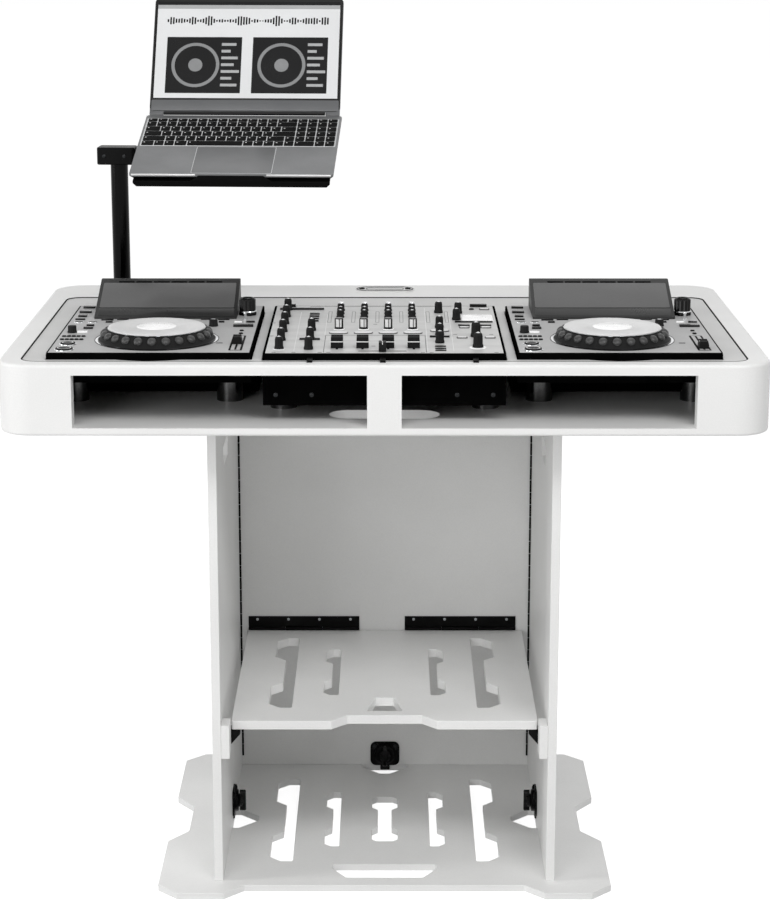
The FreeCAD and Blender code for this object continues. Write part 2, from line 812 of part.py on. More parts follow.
def shelf():
    """Slotted shelf that folds up against the back panel."""
    recess_y = shelf_front + s.shelf_recess_depth
    right_half = [(s.shelf_recess_floor / 2, recess_y), (s.shelf_recess_mouth / 2, shelf_front),
                  (shelf_half, shelf_front), (shelf_half, shelf_back)]
    outline = right_half + mirrored_x(right_half)
    handle_front = shelf_front + s.shelf_handle_setback
    handle_right = [(s.shelf_handle_mouth / 2, handle_front),
                    (s.shelf_handle_floor / 2, handle_front + s.shelf_handle_depth)]
    handle = handle_right + mirrored_x(handle_right)
    board = slab("shelf_board", "XY_Plane", [outline, handle] + slot_pairs(s.shelf_slot_shift),
                 s.shelf_board, (0, 0, shelf_bottom))
    keep("shelf", round_edges(board, s.board_round, is_upright))


def shelf_stops():
    """Blocks that keep the shelf central, and the catches that its front corners lie on."""
    blocks = []
    catches = []
    block_width = s.shelf_side_gap - s.stop_block_fit
    block_low = s.shelf_height + s.stop_block_rise - s.stop_block_height
    for side, sign in SIDES:
        start = -panel_inner if sign < 0 else panel_inner - block_width
        blocks.append(box(side + "_block", (start, panel_front, block_low),
                          (block_width, s.stop_block_depth, s.stop_block_height)))
        profile = [(panel_inner, shelf_bottom), (panel_inner, shelf_bottom - s.catch_drop),
                   (panel_inner - s.catch_toe, shelf_bottom - s.catch_drop),
                   (panel_inner - s.catch_reach, shelf_bottom - s.catch_toe),
                   (panel_inner - s.catch_reach, shelf_bottom)]
        outline = profile if sign > 0 else mirrored_x(profile)
        catches.append(slab(side + "_catch", "XZ_Plane", [outline], s.catch_width,
                            (0, shelf_front + s.catch_width, 0)))
    keep("shelf_stop_blocks", group("shelf_stop_blocks", blocks))
    keep("shelf_catches", group("shelf_catches", catches))


def shelf_hinges():
    """Two butt hinges: wall leaves with outer knuckles, shelf leaves with a middle one, and pins."""
    third = s.leaf_length / 3
    bore_radius = s.hinge_pin_radius + s.hinge_pin_clearance
    wall_leaves = []
    shelf_leaves = []
    pins = []
    screws = []
    leaf_front = back_panel_front - s.leaf_thickness
    starts = {"left": s.left_leaf_gap - shelf_half, "right": shelf_half - s.right_leaf_gap - s.leaf_length}
    for side, left in starts.items():
        bore = rod(side + "_hinge_bore", (left - s.cut_overrun, hinge_axis_y, hinge_axis_z),
                   bore_radius, s.leaf_length + s.cut_overrun * 2, "x")
        wall = [box(side + "_wall_leaf_plate", (left, leaf_front, hinge_axis_z),
                    (s.leaf_length, s.leaf_thickness, s.leaf_height))]
        notch_low = (left + third - s.knuckle_gap, leaf_front - s.knuckle_radius * 2,
                     hinge_axis_z - s.knuckle_radius * 2)
        notch_span = (third + s.knuckle_gap * 2, s.knuckle_radius * 3, s.knuckle_radius * 3 + s.knuckle_gap)
        notch = box(side + "_knuckle_notch", notch_low, notch_span)
        for end, start in (("first", left), ("last", left + third * 2)):
            wall.append(rod("%s_%s_knuckle" % (side, end), (start, hinge_axis_y, hinge_axis_z),
                            s.knuckle_radius, third, "x"))
        wall_blank = fuse(side + "_wall_leaf_blank", wall)
        wall_leaves.append(cut(side + "_wall_leaf", wall_blank, [bore, notch]))
        knuckle = rod(side + "_middle_knuckle", (left + third, hinge_axis_y, hinge_axis_z),
                      s.knuckle_radius, third, "x")
        drop = s.shelf_leaf_drop + s.knuckle_radius
        plate = box(side + "_shelf_leaf_plate", (left + third, shelf_back, hinge_axis_z - drop),
                    (third, s.leaf_thickness, drop))
        tail = box(side + "_shelf_leaf_tail", (left, shelf_back, shelf_bottom + s.leaf_thickness),
                   (s.leaf_length, s.leaf_thickness, s.shelf_board - s.leaf_thickness * 2))
        shelf_blank = fuse(side + "_shelf_leaf_blank", [knuckle, plate, tail])
        shelf_leaves.append(cut(side + "_shelf_leaf", shelf_blank, [bore]))
        pins.append(rod(side + "_hinge_pin", (left, hinge_axis_y, hinge_axis_z),
                        s.hinge_pin_radius, s.leaf_length, "x"))
        for number, share in enumerate(HINGE_SCREW_SHARES):
            spot = (left + s.leaf_length * share, leaf_front - s.hinge_screw_height,
                    hinge_axis_z + s.leaf_height / 2 + s.knuckle_radius)
            screws.append(rod("%s_hinge_screw_%d" % (side, number), spot, s.hinge_screw_radius,
                              s.hinge_screw_height, "y"))
    keep("shelf_hinge_wall_leaves", group("shelf_hinge_wall_leaves", wall_leaves))
    keep("shelf_hinge_shelf_leaves", group("shelf_hinge_shelf_leaves", shelf_leaves))
    keep("shelf_hinge_pins", group("shelf_hinge_pins", pins))
    return screws


def latches():
    """Three twist latches, drawn once lying flat (+Z off the panel, +Y up) and stood on each panel."""
    face = s.latch_plate_thickness + s.latch_boss_height
    plate = box("latch_plate", (-s.latch_plate_width / 2, -s.latch_plate_height / 2, 0),
                (s.latch_plate_width, s.latch_plate_height, s.latch_plate_thickness))
    boss = rod("latch_boss", (0, 0, 0), s.latch_boss_radius, face)
    bore = rod("latch_bore", (0, 0, face - s.latch_shaft_length - s.latch_face_clearance),
               s.latch_shaft_radius + s.latch_shaft_clearance, s.latch_shaft_length * 2)
    shaft = rod("latch_shaft", (0, 0, face - s.latch_shaft_length), s.latch_shaft_radius,
                s.latch_shaft_length + s.latch_hub_height)
    hub_low = face + s.latch_face_clearance
    hub = rod("latch_hub", (0, 0, hub_low), s.latch_hub_radius, s.latch_hub_height)
    wing_quarter = [(s.latch_wing_waist / 2, 0), (s.latch_wing_width / 2, s.latch_wing_length / 2)]
    wing_top = wing_quarter[1:] + mirrored_x(wing_quarter[1:])
    wing_outline = [wing_quarter[0]] + wing_top + [(-s.latch_wing_waist / 2, 0)] + mirrored_y(wing_top)
    blade = slab("latch_blade", "XY_Plane", [wing_outline], s.latch_wing_height,
                 (0, 0, hub_low + s.latch_hub_height - s.latch_wing_height / 2))
    wing = fuse("latch_wing", [shaft, hub, blade])
    spots = {"left": (-panel_inner, 0, s.side_latch_height, QUARTER_TURN),
             "right": (panel_inner, 0, s.side_latch_height, -QUARTER_TURN),
             "back": (0, back_panel_front, s.back_latch_height, 0)}
    housings = []
    for side, (x, y, height, yaw) in spots.items():
        tongue_low = s.base_board - s.latch_tongue_drop - height
        tongue = box(side + "_tongue", (-s.latch_tongue_width / 2, tongue_low, 0),
                     (s.latch_tongue_width, -tongue_low, s.latch_plate_thickness))
        blank = fuse(side + "_housing_blank", [plate, boss, tongue])
        housing = cut(side + "_latch_housing", blank, [bore])
        housings.append(place(housing, (x, y, height), yaw=yaw, roll=QUARTER_TURN))
        turned_wing = group(side + "_latch_wing", [wing])
        keep(side + "_latch_wing", place(turned_wing, (x, y, height), yaw=yaw, roll=QUARTER_TURN))
    keep("latch_housings", group("latch_housings", housings))


pole_x = s.pole_inset - table_width / 2
pole_y = table_back - s.pole_setback
pole_top = s.table_height + s.pole_height
arm_z = pole_top + s.swivel_gap + s.arm_head_height / 2
laptop_low = s.tray_rise + s.tray_thickness
laptop_top = laptop_low + s.laptop_base_height
laptop_front = -s.laptop_front_reach
laptop_back = laptop_front + s.laptop_depth
laptop_left = s.tray_center - s.laptop_width / 2


def tray_point(x, slope, lift):
    """Place of a point given by its way along the arm, up the tray's slope and off the tray."""
    across = slope * cosine(s.tray_tilt) - lift * sine(s.tray_tilt)
    rise = slope * sine(s.tray_tilt) + lift * cosine(s.tray_tilt)
    return (pole_x + x * cosine(s.arm_yaw) + across * sine(s.arm_yaw),
            pole_y - x * sine(s.arm_yaw) + across * cosine(s.arm_yaw),
            arm_z + rise)


def on_tray(feature):
    """Place a piece drawn in the tray's own frame: X along the arm, Y up the slope, Z off the tray."""
    return place(feature, (pole_x, pole_y, arm_z), yaw=-s.arm_yaw, roll=s.tray_tilt)


def on_lid(feature):
    """Place a piece drawn in the lid's own frame: X along its hinge, Y up the lid, Z to the user."""
    pivot = tray_point(s.tray_center, laptop_back + s.lid_barrel_radius + s.lid_barrel_gap,
                       laptop_top + s.lid_lift)
    return place(feature, pivot, yaw=-s.arm_yaw, roll=s.tray_tilt + s.lid_lean)


def laptop_stand():
    """Pole on the back rim, an arm that swivels on its spigot, and a tray that tilts on the arm."""
    flange_low = (pole_x, pole_y, s.table_height)
    keep("pole_flange", rod("pole_flange", flange_low, s.flange_radius, s.flange_thickness))
    pole_low = s.table_height + s.flange_thickness
    tube = rod("pole_tube", (pole_x, pole_y, pole_low), s.pole_radius, s.pole_height - s.flange_thickness)
    spigot = rod("pole_spigot", (pole_x, pole_y, pole_low), s.spigot_radius,
                 s.pole_height - s.flange_thickness + s.spigot_height)
    keep("pole", fuse("pole", [tube, spigot]))

    half_height = s.arm_head_height / 2
    head = slab("arm_head", "XY_Plane",
                [rectangle(-s.arm_head_left, -s.arm_head_depth / 2,
                           s.arm_head_left + s.arm_head_right, s.arm_head_depth)],
                s.arm_head_height, (0, 0, -half_height))
    round_edges(head, s.arm_head_round, is_upright)
    socket = rod("arm_socket", (0, 0, -s.arm_head_height), s.spigot_radius + s.spigot_clearance,
                 half_height + s.spigot_height + s.swivel_gap)
    bar = rod("arm_bar", (0, 0, 0), s.arm_radius, s.arm_reach, "x")
    arm = cut("swivel_arm", fuse("arm_blank", [head, bar]), [socket])
    keep("swivel_arm", place(arm, (pole_x, pole_y, arm_z), yaw=-s.arm_yaw))

    clamp_left = s.tray_center - s.clamp_width / 2
    ring = rod("clamp_ring", (clamp_left, 0, 0), s.clamp_radius, s.clamp_width, "x")
    clamp_bore = rod("clamp_bore", (clamp_left - s.cut_overrun, 0, 0), s.arm_radius + s.clamp_clearance,
                     s.clamp_width + s.cut_overrun * 2, "x")
    flange_low = s.tray_rise - s.bracket_flange_thickness
    web_profile = [(s.bracket_back, 0), (s.bracket_back, s.tray_rise), (-s.bracket_flange_reach, s.tray_rise),
                   (-s.bracket_flange_reach, flange_low), (-s.clamp_radius, 0)]
    web = slab("bracket_web", "YZ_Plane", [web_profile], s.bracket_web,
               (s.tray_center - s.bracket_web / 2, 0, 0))
    flange_left = s.tray_center - s.bracket_flange_width / 2
    flange_depth = s.bracket_flange_reach + s.bracket_back
    flange = box("bracket_flange", (flange_left, -s.bracket_flange_reach, flange_low),
                 (s.bracket_flange_width, flange_depth, s.bracket_flange_thickness))
    bolt_start = (s.tray_center, s.arm_radius + s.clamp_bolt_radius / 2, 0)
    bolt = rod("clamp_bolt", bolt_start, s.clamp_bolt_radius, s.clamp_bolt_length, "y")
    head_piece = cut("tilt_head", fuse("tilt_head_blank", [ring, web, flange, bolt]), [clamp_bore])
    keep("tilt_head", on_tray(head_piece))

    tray_left = s.tray_center - s.tray_width / 2
    plate = box("tray_plate", (tray_left, laptop_front, s.tray_rise),
                (s.tray_width, s.laptop_depth - s.tray_tail, s.tray_thickness))
    apron_low = s.tray_rise - s.tray_apron
    lip_half = [(s.tray_width / 2 - s.tray_apron_corner, apron_low),
                (s.tray_width / 2, apron_low + s.tray_apron_corner),
                (s.tray_width / 2, laptop_low),
                (s.tray_tab_bottom / 2, laptop_low),
                (s.tray_tab_top / 2, laptop_low + s.tray_tab_rise)]
    lip = slab("tray_lip", "XZ_Plane", [lip_half + mirrored_x(lip_half)], s.tray_lip_thickness,
               (s.tray_center, laptop_front, 0))
    keep("laptop_tray", on_tray(fuse("laptop_tray", [plate, lip])))


def laptop():
    """Open laptop on the tray: base, keys with the trackpad, lid and screen."""
    shell = slab("laptop_shell", "XY_Plane",
                 [rectangle(laptop_left, laptop_front, s.laptop_width, s.laptop_depth)],
                 s.laptop_base_height, (0, 0, laptop_low))
    round_edges(shell, s.laptop_corner_radius, is_upright)
    keep("laptop_base", on_tray(group("laptop_base", [shell])))

    field_left = s.tray_center - s.key_field_width / 2
    field_back = laptop_back - s.key_field_setback
    unit = s.key_field_width / KEYS_ACROSS
    row_depth = s.key_field_depth / len(KEY_ROW_SHARES)
    keys = []
    for row, spans in enumerate(KEY_ROW_SHARES):
        done = 0
        for column, span in enumerate(spans):
            low = (field_left + unit * done, field_back - row_depth * (row + 1), laptop_top)
            keys.append(box("key_%d_%d" % (row, column), low,
                            (unit * span - s.key_gap, row_depth - s.key_gap, s.key_height)))
            done = done + span
    pad_low = (s.tray_center - s.trackpad_width / 2, laptop_front + s.trackpad_setback, laptop_top)
    keys.append(box("trackpad", pad_low, (s.trackpad_width, s.trackpad_depth, s.trackpad_height)))
    keep("laptop_keys_and_trackpad", on_tray(group("laptop_keys_and_trackpad", keys)))

    panel = slab("lid_panel", "XY_Plane",
                 [rectangle(-s.lid_width / 2, s.lid_heel, s.lid_width, s.lid_height)],
                 s.lid_thickness, (0, 0, -s.lid_thickness))
    middle = s.lid_height.value / 2
    round_edges(panel, s.laptop_corner_radius,
                lambda edge: is_upright(edge) and edge.BoundBox.YMax > middle)
    barrel_start = (-s.lid_barrel_length / 2, 0, 0)
    barrel = rod("lid_barrel", barrel_start, s.lid_barrel_radius, s.lid_barrel_length, "x")
    heel = box("lid_heel", (-s.lid_barrel_length / 2, 0, -s.lid_barrel_radius),
               (s.lid_barrel_length, s.lid_heel * 2, s.lid_barrel_radius))
    keep("laptop_lid", on_lid(fuse("laptop_lid", [panel, barrel, heel])))
    glass_low = (s.screen_side_border - s.lid_width / 2, s.lid_heel + s.screen_bottom_border, 0)
    glass = box("screen_glass", glass_low,
                (s.lid_width - s.screen_side_border * 2,
                 s.lid_height - s.screen_bottom_border - s.screen_top_border, s.screen_proud))
    keep("laptop_screen", on_lid(group("laptop_screen", [glass])))


def on_player(center_x, shares):
    across, along = shares
    return (center_x + s.player_width * across, player_front + s.gear_depth * along)


def on_mixer(shares):
    across, along = shares
    return (s.mixer_width * across, mixer_front + mixer_depth * along)


def block_at(name, spot, span, low):
    """A block centred on a spot of the faceplate."""
    x, y = spot
    width, depth, height = span
    return box(name, (x - width / 2, y - depth / 2, low), (width, depth, height))


def players():
    """Two alike players: case, faceplate, jog wheel, screen housing, fader, knobs and buttons."""
    faceplates = []
    screens = []
    small_controls = []
    feet = []
    for side, sign in SIDES:
        center = player_offset * sign
        left = center - s.player_width / 2
        case_low = compartment_floor + s.player_rear_foot_height
        front_low = case_top - s.player_front_height
        step = player_front + s.player_front_depth
        front = box(side + "_case_front", (left, player_front, front_low),
                    (s.player_width, s.player_front_depth, s.player_front_height))
        rear = box(side + "_case_rear", (left, step, case_low),
                   (s.player_width, gear_back - step, case_top - case_low))
        plate = box(side + "_face_blank", (left, player_front, case_top),
                    (s.player_width, s.gear_depth, s.faceplate))
        wells = []
        for kind, shares, radius in (("cue", CUE_SHARES, s.cue_button_radius),
                                     ("play", PLAY_SHARES, s.play_button_radius)):
            name = "%s_%s_button" % (side, kind)
            spot = on_player(center, shares)
            wells.append(rod(name + "_well", spot + (case_top - s.button_travel_room,),
                             radius + s.button_fit, s.button_travel_room + s.cut_overrun))
            keep(name, rod(name, spot + (gear_top - s.button_depth,), radius, s.button_depth + s.button_rise))
        front = cut(side + "_case_welled", front, wells)
        keep(side + "_player_case", group(side + "_player_case", [front, rear]))
        tempo_x, tempo_y = on_player(center, TEMPO_SHARES)
        slot = block_at(side + "_tempo_slot", (tempo_x, tempo_y),
                        (s.tempo_slot_width, s.tempo_slot_length, s.faceplate + s.cut_overrun), case_top)
        faceplates.append(cut(side + "_faceplate", plate, wells + [slot]))

        rest_y = tempo_y + s.tempo_slot_length * TEMPO_REST_SHARES[side]
        cap = block_at(side + "_tempo_cap", (tempo_x, rest_y),
                       (s.tempo_cap_width, s.tempo_cap_depth, s.tempo_cap_height), gear_top + s.cap_gap)
        keep(side + "_tempo_fader", cap)

        jog_y = player_front + s.jog_front_gap + s.jog_radius
        jog_spot = (center - s.jog_shift * sign, jog_y, gear_top + s.jog_gap)
        dish_top = s.jog_height + s.jog_dish_rise
        jog_profile = [(0, 0), (s.jog_radius, 0), (s.jog_radius, s.jog_skirt_height),
                       (s.jog_top_radius, s.jog_height), (s.jog_dish_radius, s.jog_height),
                       (s.jog_dish_radius, dish_top), (0, dish_top)]
        keep(side + "_jog_wheel", turned(side + "_jog_wheel", jog_profile, jog_spot))

        browse_x = center + s.screen_width / 2 + s.browse_gap + s.browse_skirt_radius
        browse_y = player_front + s.gear_depth * BROWSE_ROW_SHARE
        browse_spot = (browse_x, browse_y, gear_top + s.cap_gap)
        browse_profile = [(0, 0), (s.browse_skirt_radius, 0), (s.browse_skirt_radius, s.browse_skirt_height),
                          (s.browse_knob_radius, s.browse_skirt_height),
                          (s.browse_knob_radius, s.browse_knob_height), (0, s.browse_knob_height)]
        keep(side + "_browse_knob", turned(side + "_browse_knob", browse_profile, browse_spot))

        toe = player_front + s.screen_setback
        crest = toe + s.screen_depth
        screen_back = crest + s.screen_crest
        screen_top = gear_top + s.screen_rise
        wedge = [(toe, gear_top), (screen_back, gear_top), (screen_back, screen_top),
                 (crest, screen_top), (toe, gear_top + s.screen_toe)]
        screens.append(slab(side + "_screen_wedge", "YZ_Plane", [wedge], s.screen_width,
                            (center - s.screen_width / 2, 0, 0)))

        bars = PLAYER_BAR_SHARES + PLAYER_OVAL_SHARES + PLAYER_SCREEN_BAR_SHARES
        for number, shares in enumerate(bars):
            span = (s.bar_button_length, s.bar_button_width, s.bar_button_height)
            spot = on_player(center, shares)
            small_controls.append(block_at("%s_bar_%d" % (side, number), spot, span, gear_top))
        for number, shares in enumerate(PLAYER_KNOB_SHARES):
            spot = on_player(center, shares) + (gear_top,)
            small_controls.append(rod("%s_knob_%d" % (side, number), spot,
                                      s.small_knob_radius, s.small_knob_height))
        for row, shares in enumerate(PLAYER_DOT_SHARES):
            x, y = on_player(center, shares)
            for column in CHANNELS:
                spot = (x + s.dot_button_pitch * (column - (len(CHANNELS) - 1) / 2), y, gear_top)
                small_controls.append(rod("%s_dot_%d_%d" % (side, row, column), spot,
                                          s.dot_button_radius, s.dot_button_height))
        for end, shift in (("inner", -s.player_inner_foot_offset), ("outer", s.player_outer_foot_offset)):
            front_y = player_front + s.player_foot_setback
            rear_y = gear_back - s.player_rear_foot_setback
            for row, foot_y, height in (("front", front_y, front_low - compartment_floor),
                                        ("rear", rear_y, s.player_rear_foot_height)):
                feet.append(rod("%s_%s_%s_foot" % (side, end, row),
                                (center + shift * sign, foot_y, compartment_floor),
                                s.player_foot_radius, height))
    keep("player_faceplates", group("player_faceplates", faceplates))
    keep("player_screens", group("player_screens", screens))
    keep("player_small_controls", group("player_small_controls", small_controls))
    return feet


def mixer(feet):
    """Four-channel mixer: case, faceplate, faders, knobs, buttons and display."""
    left = -s.mixer_width / 2
    case_low = compartment_floor + s.mixer_foot_height
    keep("mixer_case", box("mixer_case", (left, mixer_front, case_low),
                           (s.mixer_width, mixer_depth, case_top - case_low)))
    plate = box("mixer_face_blank", (left, mixer_front, case_top),
                (s.mixer_width, mixer_depth, s.faceplate))
    knobs = []
    buttons = []
    slots = []
    for channel in CHANNELS:
        x = s.channel_pitch * channel - s.channel_start
        fader_y = mixer_front + mixer_depth * FADER_ROW_SHARE
        slots.append(block_at("fader_slot_%d" % channel, (x, fader_y),
                              (s.fader_slot_width, s.fader_slot_length, s.faceplate + s.cut_overrun),
                              case_top))
        cap = (s.fader_cap_width, s.fader_cap_depth, s.fader_cap_height)
        name = "channel_fader_%d" % (channel + 1)
        rest_y = fader_y + s.fader_slot_length * FADER_REST_SHARE
        keep(name, block_at(name, (x, rest_y), cap, gear_top + s.cap_gap))
        for row, share in enumerate(EQ_ROW_SHARES):
            spot = (x, mixer_front + mixer_depth * share, gear_top)
            knobs.append(cone("eq_knob_%d_%d" % (channel, row), spot, s.eq_knob_radius,
                              s.eq_knob_top_radius, s.eq_knob_height))
        spot = (x, mixer_front + mixer_depth * COLOR_ROW_SHARE, gear_top)
        knobs.append(rod("color_knob_%d" % channel, spot, s.color_knob_radius, s.color_knob_height))
        for side, sign in SIDES:
            shift = s.mixer_button_length * CUE_PAD_SHIFT_SHARE * sign
            spot = (x + shift, mixer_front + mixer_depth * CUE_ROW_SHARE)
            span = (s.mixer_button_length, s.mixer_button_width, s.mixer_button_height)
            buttons.append(block_at("cue_pad_%d_%s" % (channel, side), spot, span, gear_top))
    keep("mixer_faceplate", cut("mixer_faceplate", plate, slots))

    cross_cap = (s.cross_cap_width, s.cross_cap_depth, s.cross_cap_height)
    cross_spot = on_mixer(CROSSFADER_SHARES)
    keep("crossfader", block_at("crossfader", cross_spot, cross_cap, gear_top + s.cap_gap))
    for number, shares in enumerate(MIC_KNOB_SHARES + SEND_KNOB_SHARES + MASTER_KNOB_SHARES):
        knobs.append(cone("side_knob_%d" % number, on_mixer(shares) + (gear_top,), s.color_knob_radius,
                          s.eq_knob_radius, s.color_knob_height))
    for number, shares in enumerate(LEVEL_KNOB_SHARES):
        knobs.append(rod("level_knob_%d" % number, on_mixer(shares) + (gear_top,),
                         s.level_knob_radius, s.level_knob_height))
    keep("mixer_knobs", group("mixer_knobs", knobs))
    for number, shares in enumerate(MIXER_BAR_SHARES):
        span = (s.bar_button_length, s.bar_button_width, s.bar_button_height)
        buttons.append(block_at("mixer_bar_%d" % number, on_mixer(shares), span, gear_top))
    for number, shares in enumerate(MIXER_PAD_SHARES):
        span = (s.mixer_button_length, s.mixer_button_width, s.mixer_button_height)
        buttons.append(block_at("mixer_pad_%d" % number, on_mixer(shares), span, gear_top))
    keep("mixer_buttons", group("mixer_buttons", buttons))
    display = (s.display_width, s.display_depth, s.display_height)
    keep("mixer_display", block_at("mixer_display", on_mixer(DISPLAY_SHARES), display, gear_top))
    for side, sign in SIDES:
        for row, y in (("front", mixer_front + s.mixer_foot_setback),
                       ("rear", mixer_front + mixer_depth - s.mixer_foot_inset)):
            spot = ((s.mixer_width / 2 - s.mixer_foot_inset) * sign, y, compartment_floor)
            feet.append(rod("mixer_%s_%s_foot" % (side, row), spot,
                            s.mixer_foot_radius, s.mixer_foot_height))
    keep("gear_feet", group("gear_feet", feet))


base()
pedestal_panels()
shelf()
shelf_stops()
table_boards()
deck()
latches()
keep("panel_screws", group("panel_screws", badge() + shelf_hinges()))
laptop_stand()
laptop()
mixer(players())
doc.recompute()

for feature in doc.Objects:
    if {"Invalid", "Error"} & set(feature.State):
        raise RuntimeError("feature failed: %s %s" % (feature.Label, feature.State))
for feature in parts:
    if feature.Shape.isNull() or not feature.Shape.isValid() or not feature.Shape.Solids:
        raise RuntimeError("no sound solid: %s" % feature.Label)

os.makedirs("parts", exist_ok=True)
for feature in parts:
    feature.Shape.exportStep("parts/%s.step" % feature.Label)
print(len(parts), "sub-parts written")
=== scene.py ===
# %% [markdown]
# # A DJ booth, dressed for the camera
#
# The booth is a shallow white table on a folding pedestal, with two players and a mixer let into its
# deck and a laptop on a pole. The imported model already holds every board, hinge and knob at its true
# place. This lesson keeps that frame, gives each part its real surface, and swaps the plain solids for
# finer ones where the eye expects detail.

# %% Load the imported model
import json
import math

import bmesh
import bpy
import numpy as np
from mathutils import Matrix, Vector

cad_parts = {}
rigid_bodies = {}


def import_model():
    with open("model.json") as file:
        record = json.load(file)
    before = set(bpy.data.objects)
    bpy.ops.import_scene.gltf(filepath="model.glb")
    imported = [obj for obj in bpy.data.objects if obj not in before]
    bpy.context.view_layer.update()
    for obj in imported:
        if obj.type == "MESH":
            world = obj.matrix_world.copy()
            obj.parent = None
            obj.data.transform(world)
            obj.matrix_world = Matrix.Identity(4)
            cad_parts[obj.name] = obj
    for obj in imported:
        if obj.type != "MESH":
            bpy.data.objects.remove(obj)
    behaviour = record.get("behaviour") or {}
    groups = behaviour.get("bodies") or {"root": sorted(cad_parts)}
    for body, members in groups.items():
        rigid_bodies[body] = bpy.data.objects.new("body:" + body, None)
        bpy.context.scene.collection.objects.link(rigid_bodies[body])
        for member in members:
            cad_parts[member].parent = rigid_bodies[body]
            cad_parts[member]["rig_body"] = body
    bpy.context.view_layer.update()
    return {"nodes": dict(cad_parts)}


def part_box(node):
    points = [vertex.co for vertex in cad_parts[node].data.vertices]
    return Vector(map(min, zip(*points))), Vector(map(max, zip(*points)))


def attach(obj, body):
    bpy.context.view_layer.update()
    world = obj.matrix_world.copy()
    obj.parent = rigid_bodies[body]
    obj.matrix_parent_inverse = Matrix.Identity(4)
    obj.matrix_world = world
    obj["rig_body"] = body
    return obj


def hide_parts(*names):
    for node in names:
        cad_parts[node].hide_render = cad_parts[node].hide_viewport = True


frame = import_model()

MM = 0.001

# %% [markdown]
# ## Camera
#
# The photograph was taken from about four metres in front, a little above the laptop, with a long lens.
# The place, the pitch and the focal length in pixels come from fitting known edges of the booth.

# %% Camera
CAMERA_PLACE = (0.0057, -4.0616, 1.6796)
CAMERA_PITCH, CAMERA_YAW = 13.472, 0.073
FOCAL_PIXELS, FRAME_PIXELS_HIGH = 2366.3, 900
SENSOR_MM, CLIP_END = 36.0, 60.0


def put(name, data):
    """A new object that holds the data, linked into the scene."""
    made = bpy.data.objects.new(name, data)
    bpy.context.scene.collection.objects.link(made)
    return made


camera_data = bpy.data.cameras.new("camera")
camera_data.sensor_fit = "VERTICAL"
camera_data.sensor_height = SENSOR_MM
camera_data.lens = SENSOR_MM * FOCAL_PIXELS / FRAME_PIXELS_HIGH
camera_data.clip_end = CLIP_END
camera = put("camera", camera_data)
camera.location = CAMERA_PLACE
camera.rotation_euler = (math.radians(90.0 - CAMERA_PITCH), 0.0, math.radians(CAMERA_YAW))
bpy.context.scene.camera = camera
bpy.context.scene.view_settings.view_transform = "Standard"
print("lens: %.2f mm" % camera_data.lens)

# %% [markdown]
# ## Nodes and colours
#
# Every finish below is a small node tree. One helper adds a node, sets its values and draws its links, so
# a finish reads like a recipe. Colours are written as hex values, as a paint chart gives them, and turned
# to the linear light that the renderer works in.

# %% Colour and node helpers
MIX_FACTOR, MIX_A, MIX_B, MIX_COLOUR = 0, 6, 7, 2


def linear(code):
    """Linear colour of an sRGB hex code: each channel c becomes c / 12.92 or ((c + 0.055) / 1.055) ^ 2.4."""
    channels = np.array([int(code[i:i + 2], 16) for i in (1, 3, 5)]) / 255.0
    bright = ((channels + 0.055) / 1.055) ** 2.4
    return (*np.where(channels <= 0.04045, channels / 12.92, bright).tolist(), 1.0)


def add_node(tree, kind, inputs=None, output=0, **settings):
    """Add a node and return one of its outputs; an input is either a value or a socket to link."""
    node = tree.nodes.new(kind)
    for name, value in settings.items():
        setattr(node, name, value)
    for name, value in (inputs or {}).items():
        if isinstance(value, bpy.types.NodeSocket):
            tree.links.new(value, node.inputs[name])
        else:
            node.inputs[name].default_value = value
    return node.outputs[output]


def new_finish(name, **values):
    """An empty material with its shader; values that are the same all over go straight on the shader."""
    material = bpy.data.materials.new(name)
    material.use_nodes = True
    shader = material.node_tree.nodes["Principled BSDF"]
    for socket, value in values.items():
        shader.inputs[socket.replace("_", " ")].default_value = value
    return material, material.node_tree, shader


# %% [markdown]
# ## Finishes
#
# Most surfaces here are sprayed, moulded or anodised, and differ in the same few ways: how much the tone
# drifts over a hand's width, how coarse the grain is, how deep it is and how the gloss changes with it.
# `grained` builds such a surface from those sizes in millimetres. Handled edges can show a second tone,
# which a rounded-normal trick finds: where the surface turns within a few tenths of a millimetre, the
# rounded normal and the true one part.

# %% A grained finish with optional edge wear
PATCH_DETAIL, GRAIN_DETAIL = 3.0, 2.0
NOISE_SPAN = {"From Min": 0.7, "From Max": 1.3}
EDGE_SPAN = {"From Min": 0.97, "From Max": 0.80, "To Max": 0.75}


